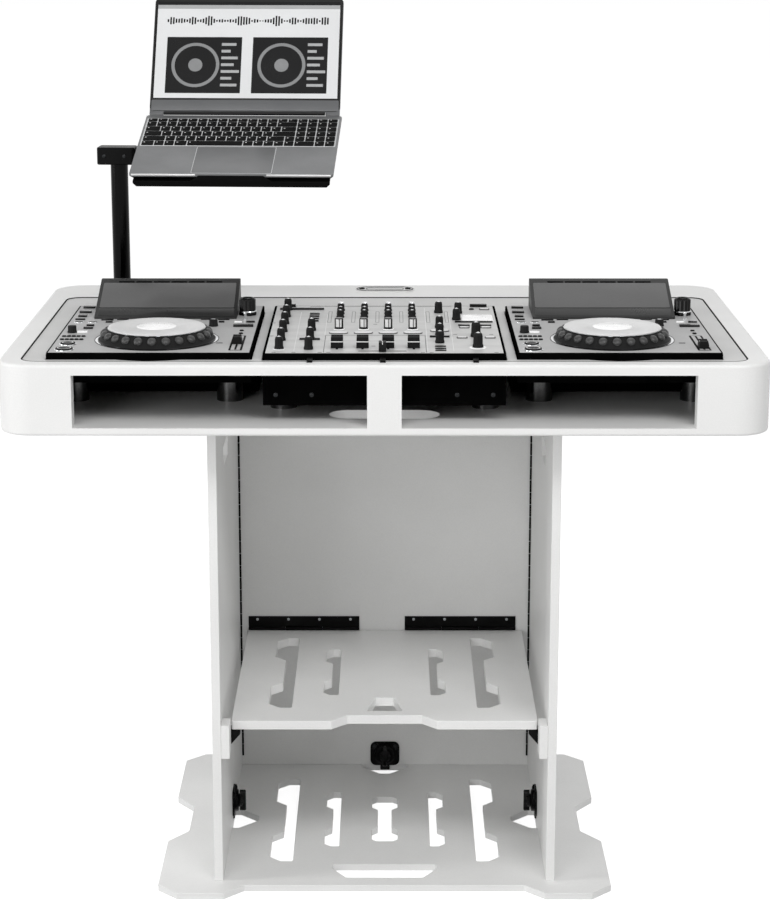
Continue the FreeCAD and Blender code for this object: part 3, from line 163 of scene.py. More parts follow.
def grained(name, light, dark, patch_mm, grain_mm, relief_mm, gloss, stretch=(1, 1, 1), worn=None, **values):
    """Tone = mix of two colours by noise over patches and grains; bump = noise over grains, relief_mm high;
    roughness runs between the two gloss values by both noises; worn = (colour, edge width in mm)."""
    material, tree, shader = new_finish(name, **values)
    place = add_node(tree, "ShaderNodeTexCoord", output="Object")
    drawn = add_node(tree, "ShaderNodeMapping", {"Vector": place, "Scale": stretch})
    patch, grain = (
        add_node(tree, "ShaderNodeTexNoise",
                 {"Vector": drawn, "Scale": 1.0 / (size_mm * MM), "Detail": detail}, "Fac")
        for size_mm, detail in ((patch_mm, PATCH_DETAIL), (grain_mm, GRAIN_DETAIL)))
    both = add_node(tree, "ShaderNodeMath", {0: patch, 1: grain}, operation="ADD")
    share, rough = (
        add_node(tree, "ShaderNodeMapRange", {"Value": both, **NOISE_SPAN, "To Min": low, "To Max": high})
        for low, high in ((0.0, 1.0), gloss))
    tone = add_node(tree, "ShaderNodeMix", {MIX_FACTOR: share, MIX_A: linear(light), MIX_B: linear(dark)},
                    MIX_COLOUR, data_type="RGBA")
    if worn:
        edge_colour, edge_mm = worn
        bent = add_node(tree, "ShaderNodeBevel", {"Radius": edge_mm * MM}, samples=4)
        flat = add_node(tree, "ShaderNodeNewGeometry", output="Normal")
        along = add_node(tree, "ShaderNodeVectorMath", {0: bent, 1: flat}, "Value", operation="DOT_PRODUCT")
        rubbed = add_node(tree, "ShaderNodeMapRange", {"Value": along, **EDGE_SPAN})
        broken = add_node(tree, "ShaderNodeMath", {0: rubbed, 1: grain}, operation="MULTIPLY")
        tone = add_node(tree, "ShaderNodeMix", {MIX_FACTOR: broken, MIX_A: tone, MIX_B: linear(edge_colour)},
                        MIX_COLOUR, data_type="RGBA")
    bump = add_node(tree, "ShaderNodeBump", {"Height": grain, "Distance": relief_mm * MM, "Strength": 1.0})
    for socket, value in (("Base Color", tone), ("Roughness", rough), ("Normal", bump)):
        tree.links.new(value, shader.inputs[socket])
    return material


# %% Sprayed boards and black metal
# Fibreboard sprayed with satin lacquer: the spray leaves a fine orange peel of about 2 mm and a tone that
# drifts slightly over a hand's width.
white_lacquer = grained("fibreboard_sprayed_white", "#f4f4f3", "#eeeeed", 140, 2.2, 0.05, (0.34, 0.50))
deck_lacquer = grained("fibreboard_sprayed_pale_grey", "#d3d3d2", "#cacac9", 120, 2, 0.05, (0.36, 0.52))
# Steel with black powder coat: a slightly pebbled skin, 1.2 mm, duller in its hollows, grey where handled.
black_steel = grained("steel_powder_coated_black", "#060606", "#0c0c0c", 60, 1.2, 0.04, (0.28, 0.44),
                      worn=("#222222", 0.6), Specular_IOR_Level=0.07)
# Tube with gloss black enamel: long soft highlights, with a faint draw along the tube.
enamel_tube = grained("steel_tube_gloss_enamel", "#010101", "#030303", 40, 3, 0.02, (0.10, 0.18),
                      stretch=(1, 1, 0.15), Specular_IOR_Level=0.11)
# Zinc-plated steel: a cool grey metal whose fine grain scatters its highlights.
plated_steel = grained("steel_zinc_plated", "#b9bcbf", "#8f9396", 8, 0.7, 0.02, (0.22, 0.40), Metallic=1.0)
# Machine cases are moulded ABS with a spark-eroded texture of about 0.8 mm: matt black, paler at the edges.
case_plastic = grained("abs_moulded_black", "#050505", "#0a0a0a", 45, 0.8, 0.04, (0.38, 0.56),
                       worn=("#2a2a2a", 0.5), Specular_IOR_Level=0.0)
print("board and metal finishes:", len(bpy.data.materials))

# %% Plates, knobs and glass
# Players: aluminium sheet, bead-blasted and painted mid grey, so it is even with a very fine grain.
player_paint = grained("aluminium_painted_mid_grey", "#bbbbbb", "#b1b1b1", 70, 0.9, 0.02, (0.40, 0.54),
                       Specular_IOR_Level=0.3)
# Mixer: aluminium sheet brushed from side to side and anodised; lines run along the booth's width.
mixer_paint = grained("aluminium_brushed_pale", "#d2d2d1", "#c4c4c3", 30, 1.4, 0.02, (0.34, 0.48),
                      stretch=(0.06, 1, 1))
# Knobs are moulded in a soft-touch rubberised plastic: deep black, dull, a bit greyer at the rubbed rim.
soft_black = grained("rubberised_plastic_black", "#090909", "#101010", 12, 0.6, 0.03, (0.40, 0.58),
                     worn=("#3a3a3a", 0.5), Specular_IOR_Level=0.15)
# Gloss black plastic, straight from a polished mould: sharp small highlights.
gloss_black = grained("abs_polished_black", "#040404", "#080808", 20, 2.5, 0.01, (0.10, 0.22),
                      Specular_IOR_Level=0.16)
# Plastic plated with chrome: a mirror with slight waviness of the mould.
chrome = grained("abs_chrome_plated", "#e6e7e8", "#cfd1d3", 6, 4, 0.03, (0.06, 0.18), Metallic=1.0)
# Spun aluminium platter: bright, soft sheen.
platter_metal = grained("aluminium_spun_silver", "#e6e6e6", "#dadada", 50, 1, 0.01, (0.34, 0.46),
                        Metallic=0.15)
# White acrylic, moulded: even and slightly waxy. The faint glow is real on the lit screen and jog centres,
# and painted light on the white bars, knob bases and rings.
white_acrylic = grained("acrylic_moulded_white", "#fafafa", "#f4f4f4", 25, 1.5, 0.01, (0.22, 0.34),
                        Emission_Color=linear("#ffffff"), Emission_Strength=0.14)
# Dark grey ABS of the screen housings: a fine texture, with a paler line along the edges.
housing_plastic = grained("abs_moulded_dark_grey", "#161616", "#1d1d1d", 50, 0.9, 0.03, (0.34, 0.50),
                          worn=("#555555", 0.5), Specular_IOR_Level=0.2)
# Machine feet have turned sleeves plated in black chrome: they mirror the bright opening in upright streaks.
foot_metal = grained("steel_turned_black_chrome", "#626262", "#525252", 10, 2, 0.01, (0.10, 0.20),
                     Metallic=1.0)
# Painted shade for slots, vents and the gaps by the deck and hinges: matt black that returns hardly any
# light.
recess_shade_black = grained("painted_recess_shade_black", "#030303", "#060606", 12, 0.8, 0.02, (0.55, 0.70),
                     Specular_IOR_Level=0.04)
# Screw heads of blackened steel: dark grey metal with a broken, speckled shine.
dark_screw = grained("steel_blackened_screw", "#343536", "#202122", 3, 0.5, 0.02, (0.28, 0.45), Metallic=1.0)
# Brushed aluminium sheet for the plain badge: fine lines across it and a broad soft sheen.
badge_metal = grained("aluminium_brushed_satin", "#e4e4e3", "#d6d6d5", 20, 0.9, 0.02, (0.34, 0.48),
                      stretch=(0.08, 1, 1))
# Printed ink on the plates: matt dark grey and matt white.
dark_ink = grained("screen_print_dark", "#4a4a4a", "#565656", 20, 0.6, 0.005, (0.5, 0.65))
pale_ink = grained("screen_print_white", "#f1f1f1", "#e6e6e6", 20, 0.6, 0.005, (0.5, 0.65))
print("finishes so far:", len(bpy.data.materials))

# %% [markdown]
# ## Floor and light
#
# The photograph is a cut-out on white with soft light from the front left. The floor and the surroundings
# are plain white to the camera and to mirrors, but light the booth only gently. A share of the floor's
# look stays ordinary diffuse paint, so the booth still throws a faint shadow there.

# %% World and floor
WORLD_LIGHT, FLOOR_GLOW, FLOOR_PAINT, FLOOR_HALF = 0.29, 0.80, "#e2e2e2", 30


def seen_directly(tree):
    """1 for rays that come from the camera, a mirror or glass, and 0 for those that only carry light."""
    seen = add_node(tree, "ShaderNodeLightPath", output="Is Camera Ray")
    rays = seen.node.outputs
    for kind in ("Is Glossy Ray", "Is Transmission Ray"):
        seen = add_node(tree, "ShaderNodeMath", {0: seen, 1: rays[kind]}, operation="ADD", use_clamp=True)
    return seen


world = bpy.data.worlds.new("studio")
bpy.context.scene.world = world
world.use_nodes = True
sky = world.node_tree
background = sky.nodes["Background"].inputs
background["Color"].default_value = linear("#ffffff")
level = add_node(sky, "ShaderNodeMapRange",
                 {"Value": seen_directly(sky), "To Min": WORLD_LIGHT, "To Max": 1.0})
sky.links.new(level, background["Strength"])

floor_mesh = bpy.data.meshes.new("floor")
floor_corners = [(x * FLOOR_HALF, y * FLOOR_HALF, 0) for x, y in ((-1, -1), (1, -1), (1, 1), (-1, 1))]
floor_mesh.from_pydata(floor_corners, [], [(0, 1, 2, 3)])
floor = put("floor", floor_mesh)
floor_paint, tree, shader = new_finish(
    "floor_white_paint", Roughness=0.9, Specular_IOR_Level=0.0, Base_Color=linear(FLOOR_PAINT),
    Emission_Color=linear("#ffffff"))
glow = add_node(tree, "ShaderNodeMath", {0: seen_directly(tree), 1: FLOOR_GLOW}, operation="MULTIPLY")
tree.links.new(glow, shader.inputs["Emission Strength"])
floor_mesh.materials.append(floor_paint)
print("floor glow:", FLOOR_GLOW, "world light:", WORLD_LIGHT)

# %% Soft boxes
# name: place, aim, width, height (metres), power (watts)
SOFT_BOXES = {
    "key_front_left": ((-2.2, -4.0, 1.9), (0.0, 0.0, 0.5), 2.0, 1.6, 40.0),
    "steep_front": ((0.0, -2.6, 3.3), (0.0, 0.0, 0.4), 2.4, 1.0, 31.0),
    "steep_right": ((1.6, -2.8, 2.9), (0.0, 0.0, 0.4), 1.6, 1.0, 29.0),
    "strip_left": ((-3.5, -0.8, 1.8), (0.0, 0.0, 0.8), 0.6, 2.0, 34.0),
    "top_back": ((0.3, 1.0, 3.6), (0.0, 0.0, 0.9), 2.6, 1.8, 14.5),
}
for name, (place, aim, width, height, power) in SOFT_BOXES.items():
    lamp = bpy.data.lights.new(name, "AREA")
    lamp.shape = "RECTANGLE"
    lamp.size, lamp.size_y, lamp.energy = width, height, power
    box = put(name, lamp)
    box.location = place
    ahead = np.subtract(aim, place)
    ahead = ahead / np.linalg.norm(ahead)
    box.rotation_euler = (math.acos(-ahead[2]), 0.0, math.atan2(-ahead[0], ahead[1]))
print("soft boxes:", ", ".join(SOFT_BOXES))

# %% [markdown]
# ## Surfaces from loops
#
# A knob, a key, a bar and a latch are all skins stretched over a stack of closed loops: circles of changing
# radius for turned pieces, rounded rectangles of changing inset for moulded ones. The loops are numpy
# arrays of shape (loops, points, 3) in millimetres, so a whole piece is a few lines of arithmetic.

# %% Loops and skins
CLOSED, OPEN = (True, True), (False, False)
LEAST_CORNER = 0.02


def skin(loops, closed=CLOSED):
    """Quads between neighbouring loops, and one flat face over the first and over the last loop if closed."""
    rows, columns = loops.shape[:2]
    number = np.arange(rows * columns).reshape(rows, columns)
    low, high = number[:-1], number[1:]
    faces = np.stack((low, np.roll(low, -1, 1), np.roll(high, -1, 1), high), -1).reshape(-1, 4).tolist()
    lids = (number[0, ::-1].tolist(), number[-1].tolist())
    return loops.reshape(-1, 3), faces + [lid for lid, wanted in zip(lids, closed) if wanted]


def rounded_outline(width, depth, corner, steps):
    """Counter-clockwise outline: a quarter circle of radius corner about each of the four corner centres."""
    corner = max(min(corner, width / 2, depth / 2), LEAST_CORNER)
    quarter = np.linspace(0.0, np.pi / 2, steps)
    angle = (np.arange(4)[:, None] * np.pi / 2 + quarter).ravel()
    centre = np.array(((1, 1), (-1, 1), (-1, -1), (1, -1))) * (width / 2 - corner, depth / 2 - corner)
    return np.repeat(centre, steps, axis=0) + corner * np.stack((np.cos(angle), np.sin(angle)), -1)


def moulded(profile, width, depth, corner, steps=4, closed=CLOSED):
    """A moulded block: each (inset, height) of the profile is the outline shrunk by that inset."""
    return skin(np.array([
        np.c_[rounded_outline(width - 2 * inset, depth - 2 * inset, corner - inset, steps),
              np.full(4 * steps, height)] for inset, height in profile]), closed)


def turned(profile, sides=32, flutes=0, flute_depth=0.0, closed=CLOSED):
    """A turned piece: x = r cos t, y = r sin t for each (radius, height); flutes press the radius in by
    flute_depth times the positive part of cos(flutes t)."""
    radius, height = np.array(profile, float).T[:, :, None]
    angle = np.linspace(0.0, 2 * np.pi, sides, endpoint=False)
    pressed = radius * (1.0 - flute_depth * np.clip(np.cos(flutes * angle), 0.0, 1.0) * (flutes > 0))
    loops = np.stack((pressed * np.cos(angle), pressed * np.sin(angle), height + 0.0 * angle), -1)
    return skin(loops, closed)


def bar(width, depth, height, corner, edge):
    """A moulded block on z = 0 whose upper edge is rounded off over the given edge width."""
    rounding = [(edge * (1 - math.cos(t)), height - edge + edge * math.sin(t)) for t in (0.0, 0.8, 1.57)]
    return moulded([(0, 0)] + rounding, width, depth, corner)


def placed(surface, places):
    """The same surface at several places: its points plus each place."""
    points, faces = surface
    return [(points + np.asarray(place, float), faces) for place in np.atleast_2d(places)]


def spots(start, places):
    """Points on a plate: the start plus each (across, back)."""
    return start + np.pad(np.atleast_2d(np.asarray(places, float)), ((0, 0), (0, 1)))


# %% From surfaces to pieces
SHARP_TURN = 38


def finished(mesh, name, finish, turn, body, nodes):
    """Smooth a mesh except where it turns by more than so many degrees, paint it and fix it to its body."""
    mesh.polygons.foreach_set("use_smooth", np.ones(len(mesh.polygons), bool))
    mesh.set_sharp_from_angle(angle=math.radians(turn))
    mesh.materials.clear()
    mesh.materials.append(finish)
    piece = put(name, mesh)
    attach(piece, body)
    if nodes:
        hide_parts(*nodes)
    return piece


def dress(body, slot, *rows, sharp=SHARP_TURN):
    """Pieces that ride one body, from rows of (name, finish, surfaces, replaced nodes...); slot is not used.
    Each is one mesh: points stacked in metres, face numbers moved on past earlier points."""
    for name, finish, surfaces, *nodes in rows:
        points = np.concatenate([part for part, _ in surfaces]) * MM
        starts = np.cumsum([0] + [len(part) for part, _ in surfaces[:-1]])
        faces = [[corner + int(start) for corner in face]
                 for (_, group), start in zip(surfaces, starts) for face in group]
        mesh = bpy.data.meshes.new(name)
        mesh.from_pydata(points.tolist(), [], faces)
        finished(mesh, name, finish, sharp, body, nodes)


# %% Painting, softening and measuring CAD nodes
ARRIS_TURN, FLAT_TURN = 35, 1
MERGE_METRES = 0.00001


def paint(finish, *nodes):
    """Give CAD nodes whose shape is already right their finish."""
    for node in nodes:
        data = frame["nodes"][node].data
        data.materials.clear()
        data.materials.append(finish)


def softened(node, finish, edge_mm, flat_faces=True):
    """A copy of a CAD node, its loose triangles merged, whose sharp edges get a small rounded bevel."""
    source = frame["nodes"][node]
    mesh = bpy.data.meshes.new(node + "_softened")
    work = bmesh.new()
    work.from_mesh(source.data)
    bmesh.ops.remove_doubles(work, verts=work.verts, dist=MERGE_METRES)
    if flat_faces:
        bmesh.ops.dissolve_limit(work, angle_limit=math.radians(FLAT_TURN), verts=work.verts,
                                 edges=work.edges)
    work.to_mesh(mesh)
    work.free()
    for name in ("custom_normal", "sharp_edge", "sharp_face"):
        if name in mesh.attributes:
            mesh.attributes.remove(mesh.attributes[name])
    piece = finished(mesh, node + "_softened", finish, ARRIS_TURN, source["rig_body"], [node])
    bevel = piece.modifiers.new("arris", "BEVEL")
    bevel.width, bevel.segments, bevel.angle_limit = edge_mm * MM, 2, math.radians(ARRIS_TURN)
    bevel.limit_method, bevel.miter_outer = "ANGLE", "MITER_ARC"
    bevel.use_clamp_overlap, bevel.harden_normals = False, True


def extent(node):
    """Lowest and highest corner of a node's box in millimetres."""
    low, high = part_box(node)
    return np.array(low) / MM, np.array(high) / MM


def seat(node, height=None):
    """Where a node stands: the middle of its box at the box's foot or at the height given, and the box's
    width, depth and rise above that."""
    low, high = extent(node)
    foot = low[2] if height is None else height
    base = np.array(((low[0] + high[0]) / 2, (low[1] + high[1]) / 2, foot))
    return base, np.array((high[0] - low[0], high[1] - low[1], high[2] - foot))


# %% [markdown]
# ## Boards
#
# Table, pedestal, shelf and base are sprayed fibreboard. A real arris is never a knife edge: it is sanded
# to a millimetre or so before spraying, and that thin round catches the light. So each board is a copy of
# its CAD solid with a narrow bevel. The table's own boards are glued into one body and sprayed together,
# so those keep their CAD faces, with no groove at the joints. A black band paints the shade in the deck's
# gap.

# %% Boards
BOARD_ARRIS_MM, DECK_ARRIS_MM = 1.0, 0.6
GAP_SHADE_REACH, GAP_SHADE_CORNER, GAP_SHADE_STEPS = 4.2, 28, 12
for node in ("base_plate", "shelf", "left_side_panel", "right_side_panel", "back_panel", "shelf_stop_blocks"):
    softened(node, white_lacquer, BOARD_ARRIS_MM)
paint(white_lacquer, "table_top", "table_bottom", "table_left_end", "table_right_end", "table_back_wall",
      "table_center_post")
softened("deck_plate", deck_lacquer, DECK_ARRIS_MM, flat_faces=False)
DECK_TOP = extent("deck_plate")[1][2]
deck_middle, deck_size = seat("deck_plate", DECK_TOP)
# A black band round the deck plate paints the shade in the gap between deck and rim.
gap_shade_band = moulded([(0.1, -4), (0.1, 0.9), (0.5, 1.3), (1.6, 1.3), (2, 0.9), (2, -4)], deck_size[0] + GAP_SHADE_REACH,
               deck_size[1] + GAP_SHADE_REACH, GAP_SHADE_CORNER, GAP_SHADE_STEPS, OPEN)
dress("booth", "deck_board", ("deck_seal", recess_shade_black, placed(gap_shade_band, deck_middle)))
print("boards softened by", BOARD_ARRIS_MM, "mm")

# %% [markdown]
# ## Iron fittings
#
# The panels fold on piano hinges: rows of short rolled knuckles in the corners. Three twist latches hold
# them to the base. A latch is drawn lying flat, with z off the panel and y up, and then stood on its panel.

# %% Hinges and catches
for node in ("shelf_catches", "shelf_hinge_wall_leaves", "shelf_hinge_shelf_leaves"):
    softened(node, black_steel, 0.5)
paint(black_steel, "shelf_hinge_pins")
paint(foot_metal, "gear_feet")
paint(case_plastic, "left_player_case", "right_player_case", "mixer_case")
hinge_low, hinge_high = extent("piano_hinges")
KNUCKLE_RADIUS, KNUCKLE_LENGTH, KNUCKLE_GAP, KNUCKLE_ROUND = 1.8, 23.2, 0.8, 0.4
knuckle = turned([(1, 0), (KNUCKLE_RADIUS, KNUCKLE_ROUND), (KNUCKLE_RADIUS, KNUCKLE_LENGTH - KNUCKLE_ROUND),
                  (1, KNUCKLE_LENGTH)], 12)
knuckle_starts = np.arange(hinge_low[2], hinge_high[2] - KNUCKLE_LENGTH, KNUCKLE_LENGTH + KNUCKLE_GAP)
knuckle_places = [(x, hinge_high[1] - KNUCKLE_RADIUS, z) for x in (
    hinge_low[0] + KNUCKLE_RADIUS, hinge_high[0] - KNUCKLE_RADIUS) for z in knuckle_starts]
dress("booth", "black_steel",
      ("hinge_knuckles", black_steel, placed(knuckle, knuckle_places), "piano_hinges"))
print("hinge knuckles:", len(knuckle_places))

# %% Twist latches
TO_FRONT = (0, -1, 0)


def stood(surfaces, off, spot):
    """Flat-lying surfaces stood on a panel: z becomes the direction off the panel, y becomes up."""
    up = np.array((0.0, 0.0, 1.0))
    axes = np.array((np.cross(up, off), up, off))
    return [(points @ axes + np.asarray(spot), faces) for points, faces in surfaces]


def facing_front(surface, places):
    """The same flat-lying surface stood at several places so that it looks to the front."""
    return [stood([surface], TO_FRONT, place)[0] for place in places]


EARS = [(-19.6, 15.6, 0), (19.6, 15.6, 0)]
latch_housing = [
    moulded([(0, 0), (0, 2.4), (0.6, 3)], 56, 48, 11, 6),
    turned([(20, 2), (20, 8.4), (19, 9.6), (17.6, 10), (13, 10)], 48),
    *placed(moulded([(0, 0), (0, 2.6), (0.4, 3)], 18, 18, 2), (0, -24, 0)),
    *placed(turned([(7, 2), (7, 4.6), (6.2, 5.4), (4.6, 5.4)], 28), EARS)]
latch_heads = placed(turned([(4.2, 5), (4.2, 5.9), (3.2, 6.7), (1.6, 6.8), (1.4, 6)], 20), EARS)
latch_knob = [
    turned([(3.9, 4.4), (3.9, 10.3), (11.6, 10.3), (12.2, 11.4), (11.6, 17.2), (10.2, 18.2)], 64, 16, 0.05),
    moulded([(0, 12), (0, 21.4), (0.7, 22.7), (2, 23.2)], 9, 40, 4.5, 6)]
# side: direction off the panel, spot on it
LATCHES = {"left": ((1, 0, 0), (-277, 0, 48)), "right": ((-1, 0, 0), (277, 0, 48)),
           "back": (TO_FRONT, (0, 272, 36))}
housings, heads = [], []
for side, (off, spot) in LATCHES.items():
    housings += stood(latch_housing, off, spot)
    heads += stood(latch_heads, off, spot)
    latch = side + "_latch"
    dress(latch, "black_steel", (latch + "_knob", gloss_black, stood(latch_knob, off, spot), latch + "_wing"))
dress("booth", "black_steel", ("latch_plates", black_steel, housings, "latch_housings"),
      ("latch_screws", dark_screw, heads))
print("latches:", len(LATCHES))

# %% Shelf hinges: screws, and a black strip that paints the shade in the gap behind the knuckles
leaf_low, leaf_high = extent("shelf_hinge_wall_leaves")
LEAF_LENGTH, LEAF_FRONT, SCREW_DROP, SCREW_SHARES = 212.0, 270.0, 6.0, (0.08, 0.36, 0.64, 0.92)
GAP_HEIGHT, GAP_OVERLAP = 6.5, 0.8
LEAF_STARTS = (leaf_low[0], leaf_high[0] - LEAF_LENGTH)
leaf_screw = turned([(2.6, -0.2), (2.6, 0.5), (1.9, 0.9), (0.9, 0.9), (0.7, 0.5)], 16)
leaf_screws = facing_front(leaf_screw, [(start + LEAF_LENGTH * share, LEAF_FRONT, leaf_high[2] - SCREW_DROP)
                                        for start in LEAF_STARTS for share in SCREW_SHARES])
# A black strip behind the knuckles paints the shade seen through the gap between the leaves.
gap_shade_strip = moulded([(0, -0.05), (0, 0.3)], LEAF_LENGTH / 3 + GAP_OVERLAP, 1.8, 0.2, 2)
gap_shade_strips = facing_front(gap_shade_strip, [(start + LEAF_LENGTH / 2, leaf_high[1], leaf_low[2] + GAP_HEIGHT)
                                      for start in LEAF_STARTS])
dress("booth", "pin_steel", ("leaf_screws", plated_steel, leaf_screws, "panel_screws"))
dress("booth", "black_steel", ("leaf_gap_strips", recess_shade_black, gap_shade_strips))
print("hinge screws:", len(leaf_screws))

# %% [markdown]
# ## Players
#
# Each player is a black case under a painted plate, with a jog wheel, a tilted screen, a tempo fader and
# a column of small buttons on either side. Positions are given from the middle of the player's front edge:
# `across` to the right and `back` towards the table's back rim, both in millimetres.

# %% Plates with a dark rim
SIDES = ("left", "right")
PLATE_TOP = extent("player_faceplates")[1][2]
PLAYER_WIDTH, PLAYER_DEPTH, _ = seat("left_player_case")[1]
PLAYER_STARTS = {side: seat(side + "_player_case", PLATE_TOP)[0] - (0, PLAYER_DEPTH / 2, 0) for side in SIDES}


def on_players(surface, places):
    """The surface on both players, at each (across, back) of their plates."""
    return [copy for start in PLAYER_STARTS.values() for copy in placed(surface, spots(start, places))]


plate_middle = (0, PLAYER_DEPTH / 2)
rim = moulded([(0, -2), (0, -0.8), (0.4, -0.4), (3.6, -0.4), (3.6, -2)], PLAYER_WIDTH, PLAYER_DEPTH, 4,
              closed=OPEN)
plate = moulded([(2.8, -1), (2.8, -0.2), (3, 0)], PLAYER_WIDTH, PLAYER_DEPTH, 4)
dress("booth", "gear_case", ("player_rims", case_plastic, on_players(rim, plate_middle)))
dress("booth", "gear_face",
      ("player_plates", player_paint, on_players(plate, plate_middle), "player_faceplates"))
print("player plate: %.0f x %.0f mm, top at %.0f mm" % (PLAYER_WIDTH, PLAYER_DEPTH, PLATE_TOP))

# %% [markdown]
# ## Jog wheels
#
# The wheel's skirt is a plain cone, and a row of round finger domes sits on it. A dome is a cap of a
# flattened ball: each of its points is given by its way around the cone, its way up the slope and its
# height off it. The platter is spun metal, with a lit white disc at its centre and a plated lip around it.

# %% Jog wheel
# Jog skirts: firm moulded rubber, dull grain. Domes: polished by fingers, painted lighter grey as highlight.
jog_rubber = grained("rubber_moulded_grained", "#0d0d0d", "#181818", 9, 0.9, 0.08, (0.50, 0.68),
                     Specular_IOR_Level=0.12)
dome_highlight_rubber = grained("rubber_domes_painted_highlight", "#383838", "#2f2f2f", 9, 0.8, 0.004, (0.30, 0.36),
                      Specular_IOR_Level=0.4)
JOG_FOOT, JOG_SHOULDER = (95.6, 2.4), (79.5, 18.6)
DOME_COUNT, DOME_RADIUS, DOME_HEIGHT, DOME_SHARE = 24, 7.6, 5.2, 0.54
DOME_RINGS, DOME_SIDES, DOME_TIP = 6, 20, 0.06
ROUND_SHARP = 50


def jog_domes():
    """A dome's point at distance d from its axis and angle a about it: d cos(a) around the cone, d sin(a) up
    the slope and h sqrt(1 - d^2 / R^2) off it, in the directions that the cone has at that dome."""
    run, rise = np.subtract(JOG_SHOULDER, JOG_FOOT)
    slope = math.hypot(run, rise)
    turn = np.arange(DOME_COUNT)[:, None] * 2 * np.pi / DOME_COUNT
    outward = np.c_[np.cos(turn), np.sin(turn), 0.0 * turn]
    around = np.c_[-np.sin(turn), np.cos(turn), 0.0 * turn]
    upward = outward * run / slope + (0, 0, rise / slope)
    off = outward * rise / slope - (0, 0, run / slope)
    centre = outward * (JOG_FOOT[0] + DOME_SHARE * run) + (0, 0, JOG_FOOT[1] + DOME_SHARE * rise)
    d = DOME_RADIUS * np.sin(np.linspace(np.pi / 2, DOME_TIP, DOME_RINGS))[:, None]
    a = np.linspace(0.0, 2 * np.pi, DOME_SIDES, endpoint=False)[None, :]
    height = DOME_HEIGHT * np.sqrt(np.clip(1.0 - (d / DOME_RADIUS) ** 2, 0.0, 1.0)) + 0.0 * a
    local = np.stack((d * np.cos(a), d * np.sin(a), height), -1)
    frames = np.stack((around, upward, off), 1)
    return [skin(centre[k] + local @ frames[k], (False, True)) for k in range(DOME_COUNT)]


jog_skirt = turned([(90, 0.2), (96, 0.2), (96.4, 1.4), JOG_FOOT, JOG_SHOULDER, (78.6, 19), (76, 19.2)], 160)
domes = jog_domes()
# part: finish and surface; the first group turns with the wheel, the second stays on the plate
WHEEL_PARTS = {
    "foot": (gloss_black, turned([(95.8, 0.3), (96.9, 0.3), (97, 1), (96.4, 1.5), (95.8, 1.4)], 128)),
    "platter": (platter_metal, turned([
        (70, 19.5), (79, 19.5), (79.9, 20), (80, 20.6), (79.4, 21.2), (76, 21.4), (34, 21.4), (33.4, 21),
        (32.8, 21)], 128)),
    "lip": (chrome, turned([(78, 18.6), (80.4, 18.8), (80.6, 19.4), (79.6, 19.8), (78, 19.8)], 128)),
    "disc": (white_acrylic, turned([(32.6, 20.6), (32.4, 21.5), (31.6, 21.8), (10, 21.8)], 96))}
PLATE_PARTS = {
    "surround": (chrome, turned([(96.8, -0.3), (101.4, -0.3), (101.4, 0.35), (97, 0.35)], 128)),
    "surround_edge": (gloss_black, turned([
        (101.4, -0.3), (102.6, -0.3), (102.6, 0.6), (102.2, 0.9), (101.4, 0.6)], 128, closed=OPEN))}
for side in SIDES:
    jog = side + "_jog"
    hub, _ = seat(jog + "_wheel")
    dress(jog, "jog", (jog + "_body", jog_rubber, placed(jog_skirt, hub), jog + "_wheel"), sharp=ROUND_SHARP)
    # The domes' lighter grey is a painted highlight.
    dress(jog, "jog", (jog + "_domes", dome_highlight_rubber, [(points + hub, faces) for points, faces in domes]))
    for body, parts, height in ((jog, WHEEL_PARTS, hub[2]), ("booth", PLATE_PARTS, PLATE_TOP)):
        for part, (finish, surface) in parts.items():
            dress(body, "jog", (jog + "_" + part, finish, placed(surface, (hub[0], hub[1], height))))
print("domes on each jog wheel:", DOME_COUNT)

# %% [markdown]
# ## Screens
#
# The screen housing is a wedge: its side view, an eight-sided outline, is carried from left to right, and the
# outline shrinks a little at both ends so that the corners are rounded. Glass, a dark control strip and six
# vents lie on the slope, placed in the slope's own directions.

# %% Screen housings
SCREEN_WIDTH = 246
TOE_BACK, TOE_RISE, CREST_BACK, CREST_RISE, HOUSING_BACK = 302, 3, 422, 50, 434
GLASS_UP, STRIP_UP, VENT_UP, VENT_PITCH = 74, 17, 119.6, 31
HOUSING_SHARP = 25
slope_run = np.array((CREST_BACK - TOE_BACK, CREST_RISE - TOE_RISE))
SLOPE_LENGTH = float(np.hypot(*slope_run))
slope_back, slope_up = slope_run / SLOPE_LENGTH
SLOPE_AXES = np.array(((1, 0, 0), (0, slope_back, slope_up), (0, -slope_up, slope_back)))


def on_slopes(surface, places):
    """A flat-lying surface on both screens: x stays, y runs up the slope, z along its normal."""
    points, faces = surface
    return [(start + (0, TOE_BACK, TOE_RISE) + (points + (across, up, 0)) @ SLOPE_AXES, faces)
            for start in PLAYER_STARTS.values() for across, up in places]


section = np.array(((TOE_BACK, 0), (HOUSING_BACK, 0), (HOUSING_BACK, CREST_RISE - 3),
                    (HOUSING_BACK - 1, CREST_RISE - 1), (HOUSING_BACK - 3, CREST_RISE),
                    (CREST_BACK + 2, CREST_RISE), (CREST_BACK, CREST_RISE - 0.4), (TOE_BACK + 0.6, TOE_RISE)))
ends = np.array(((-1, 0.985), (-0.994, 0.995), (-0.985, 1), (0.985, 1), (0.994, 0.995), (1, 0.985)))
heart = section.mean(axis=0)
sections = heart + (section - heart)[None] * ends[:, 1, None, None]
widths = np.broadcast_to(ends[:, :1, None] * SCREEN_WIDTH / 2, (len(ends), len(section), 1))
wedge = skin(np.concatenate((widths, sections), -1))
glass = moulded([(0, -0.4), (0, 0.25), (0.3, 0.4)], SCREEN_WIDTH - 12, 83, 2.5)
strip = moulded([(0, -0.4), (0, 0.15), (0.3, 0.3)], SCREEN_WIDTH - 10, 25, 2)
